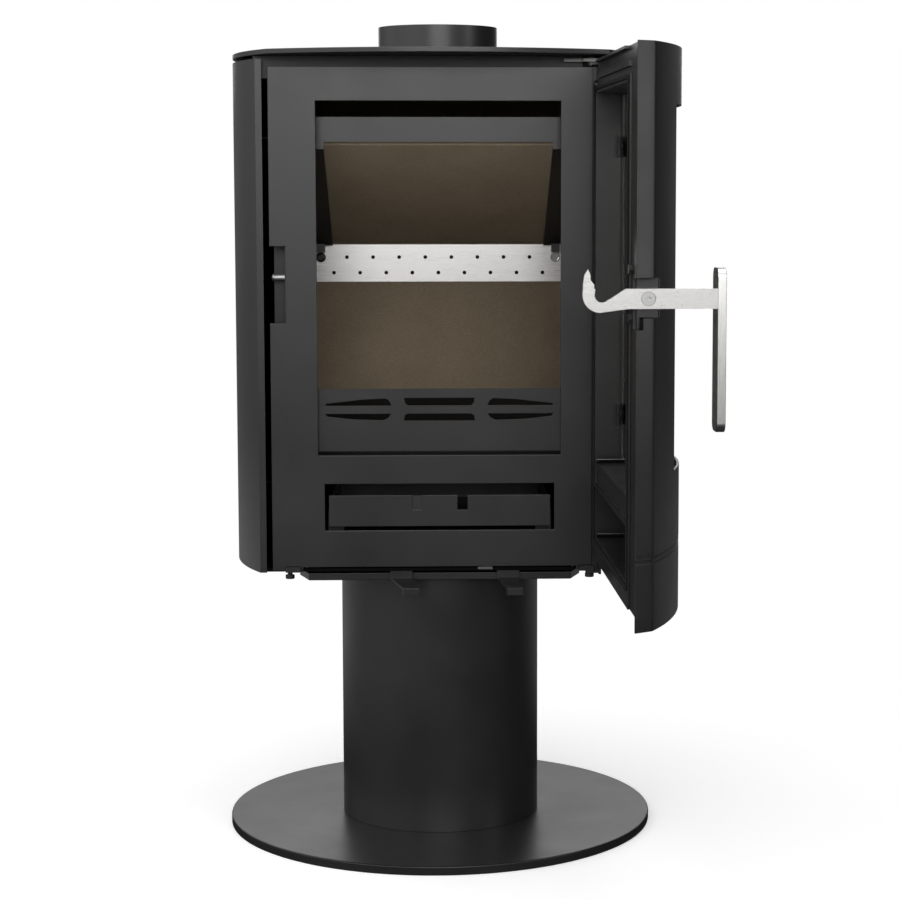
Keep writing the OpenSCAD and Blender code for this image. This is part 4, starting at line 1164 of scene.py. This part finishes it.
@dataclass
class Studio:
    """Camera, floor, backdrop and soft lights."""

    camera_at: Vec = (-0.00709, -2.91923, 0.81846)
    yaw: float = 0.0391
    pitch: float = 0.1072
    focal: float = 2303.5
    middle: Tuple[float, float] = (523.29, 426.85)
    frame_px: float = 900.0
    sensor: float = 36.0
    front_level: float = 0.5
    back_level: float = 0.12
    left_level: float = 0.6
    top_level: float = 0.3

    def build(self) -> None:
        """Set up everything around the stove."""
        scene = bpy.context.scene
        scene.view_settings.view_transform = "Standard"
        self.camera(scene)
        self.floor()
        self.world(scene)
        self.lights()

    def camera(self, scene: bpy.types.Scene) -> None:
        """Place the camera at the photograph's viewing angle.

        Args:
            scene: the scene that gets the camera.
        """
        data = bpy.data.cameras.new("Camera")
        data.sensor_width = self.sensor
        data.lens = self.focal / self.frame_px * self.sensor
        data.shift_x = (self.frame_px / 2 - self.middle[0]) / self.frame_px
        data.shift_y = (self.middle[1] - self.frame_px / 2) / self.frame_px
        camera = bpy.data.objects.new("Camera", data)
        camera.location = self.camera_at
        camera.rotation_euler = (math.pi / 2 - self.pitch, 0.0, -self.yaw)
        scene.collection.objects.link(camera)
        scene.camera = camera

    def floor(self) -> None:
        """A wide pale floor that keeps the stove's shadow and fades to white away from it."""
        half, below = 14.0, 0.2 * MM
        corners = np.array([[-half, -half, -below], [half, -half, -below],
                            [half, half, -below], [-half, half, -below]])
        floor = new_piece("studio_floor", corners, [[0, 1, 2, 3]])
        finish = Finish("Studio floor", (0.86, 0.86, 0.86, 1.0), 0.9)
        material, nodes, shader = finish.start()
        shader.inputs["Base Color"].default_value = finish.color
        shader.inputs["Roughness"].default_value = finish.rough
        shader.inputs["Specular IOR Level"].default_value = 0.1
        pale = shader.outputs[0]
        where, path = nodes.where(), nodes.add("LightPath").outputs
        apart = nodes.vector("LENGTH", where, result="Value")
        across, depth = nodes.part(where, "X"), nodes.part(where, "Y")
        beside = nodes.math("ADD", nodes.ramp(depth, 0.3, 1.0, 0.0, 0.16),
                            nodes.ramp(across, -0.3, -1.2, 0.0, 0.25))
        glow = nodes.math("MULTIPLY_ADD", beside, nodes.ramp(apart, 1.8, 4.0, 1.0, 0.3),
                          nodes.ramp(depth, -9.0, -1.8, 0.5, 0.02))
        dim, white, sheen = (nodes.add("Emission", {"Strength": level}).outputs[0]
                             for level in (0.3, 1.0, glow))
        lit = nodes.add("AddShader", {"#0": pale, "#1": dim}).outputs[0]
        seen = nodes.shade(nodes.ramp(apart, 0.45, 0.9, 0.0, 1.0), lit, white)
        mirrored = nodes.shade(path["Is Glossy Ray"], pale, sheen)
        direct = nodes.math("MAXIMUM", path["Is Camera Ray"], path["Is Transmission Ray"])
        nodes.feed(material.node_tree.nodes["Material Output"],
                   {"Surface": nodes.shade(direct, mirrored, seen)})
        floor.data.materials.append(material)

    def world(self, scene: bpy.types.Scene) -> None:
        """White for the camera and through glass, else a room brightest in front and at the left.

        Args:
            scene: the scene that gets the world.
        """
        world = bpy.data.worlds.new("Studio")
        world.use_nodes = True
        scene.world = world
        nodes = Sockets(world.node_tree)
        ground = world.node_tree.nodes["Background"]
        ground.inputs["Color"].default_value = (1.0, 1.0, 1.0, 1.0)
        path = nodes.add("LightPath").outputs
        seen = nodes.math("MAXIMUM", path["Is Camera Ray"], path["Is Transmission Ray"])
        way = nodes.add("TexCoord").outputs["Generated"]
        x, y, z = (nodes.part(way, axis) for axis in "XYZ")
        front = nodes.math("MULTIPLY", nodes.ramp(y, 0.1, -0.9, 0.05, self.front_level),
                           nodes.ramp(x, 0.65, 0.97, 1.0, 0.1))
        left = nodes.math("MULTIPLY", nodes.ramp(x, -0.3, -0.9, 0.0, self.left_level),
                          nodes.ramp(y, 0.35, 0.7, 1.3, 0.4))
        room = nodes.math("MULTIPLY_ADD", front, nodes.ramp(z, -0.02, 0.15, 0.75, 1.7), left)
        room = nodes.math("ADD", room, nodes.ramp(z, 0.3, 0.9, 0.0, self.top_level))
        room = nodes.math("ADD", room, nodes.ramp(y, 0.72, 0.9, 0.0, self.back_level))
        nodes.feed(ground, {"Strength": nodes.math("MAXIMUM", room, seen)})

    def lights(self) -> None:
        """Soft areas: key at the upper left, front, low right side, top and back."""
        self.area("Key", (-1.9, -2.2, 2.5), (0.0, 0.0, 0.75), (1.6, 1.6), 14.0)
        self.area("Front", (0.2, -3.7, 1.5), (0.0, 0.0, 0.6), (2.4, 1.0), 24.0)
        self.area("Right", (2.6, -1.35, 1.0), (0.2, -0.4, 0.7), (0.7, 1.1), 5.0)
        self.area("Top", (0.0, -0.4, 3.2), (0.0, 0.0, 0.5), (2.0, 2.0), 34.0)
        self.area("Back", (0.0, 3.2, 1.5), (0.0, 0.0, 0.3), (2.6, 1.0), 12.0)

    def area(self, name: str, at: Vec, to: Vec, size: Tuple[float, float], power: float) -> None:
        """Add one soft area light.

        Args:
            name: name of the light.
            at: where it stands.
            to: the point that it faces.
            size: its width and height.
            power: its power in watts.
        """
        data = bpy.data.lights.new(name, "AREA")
        data.shape = "RECTANGLE"
        data.size, data.size_y = size
        data.energy = power
        light = bpy.data.objects.new(name, data)
        light.location = at
        light.rotation_euler = (Vector(to) - Vector(at)).to_track_quat("-Z", "Y").to_euler()
        bpy.context.scene.collection.objects.link(light)


def main() -> None:
    """Build the sub-assemblies in order, then the studio."""
    logging.basicConfig(level=logging.INFO, format="%(name)s: %(message)s")
    for assembly in (Pedestal(), Shell(), Firebox(), HingeSide(), AshAndAir(), Door(), Latch()):
        LOG.info("building %s", type(assembly).__name__)
        assembly.build()
    Studio().build()


if __name__ == "__main__":
    main()
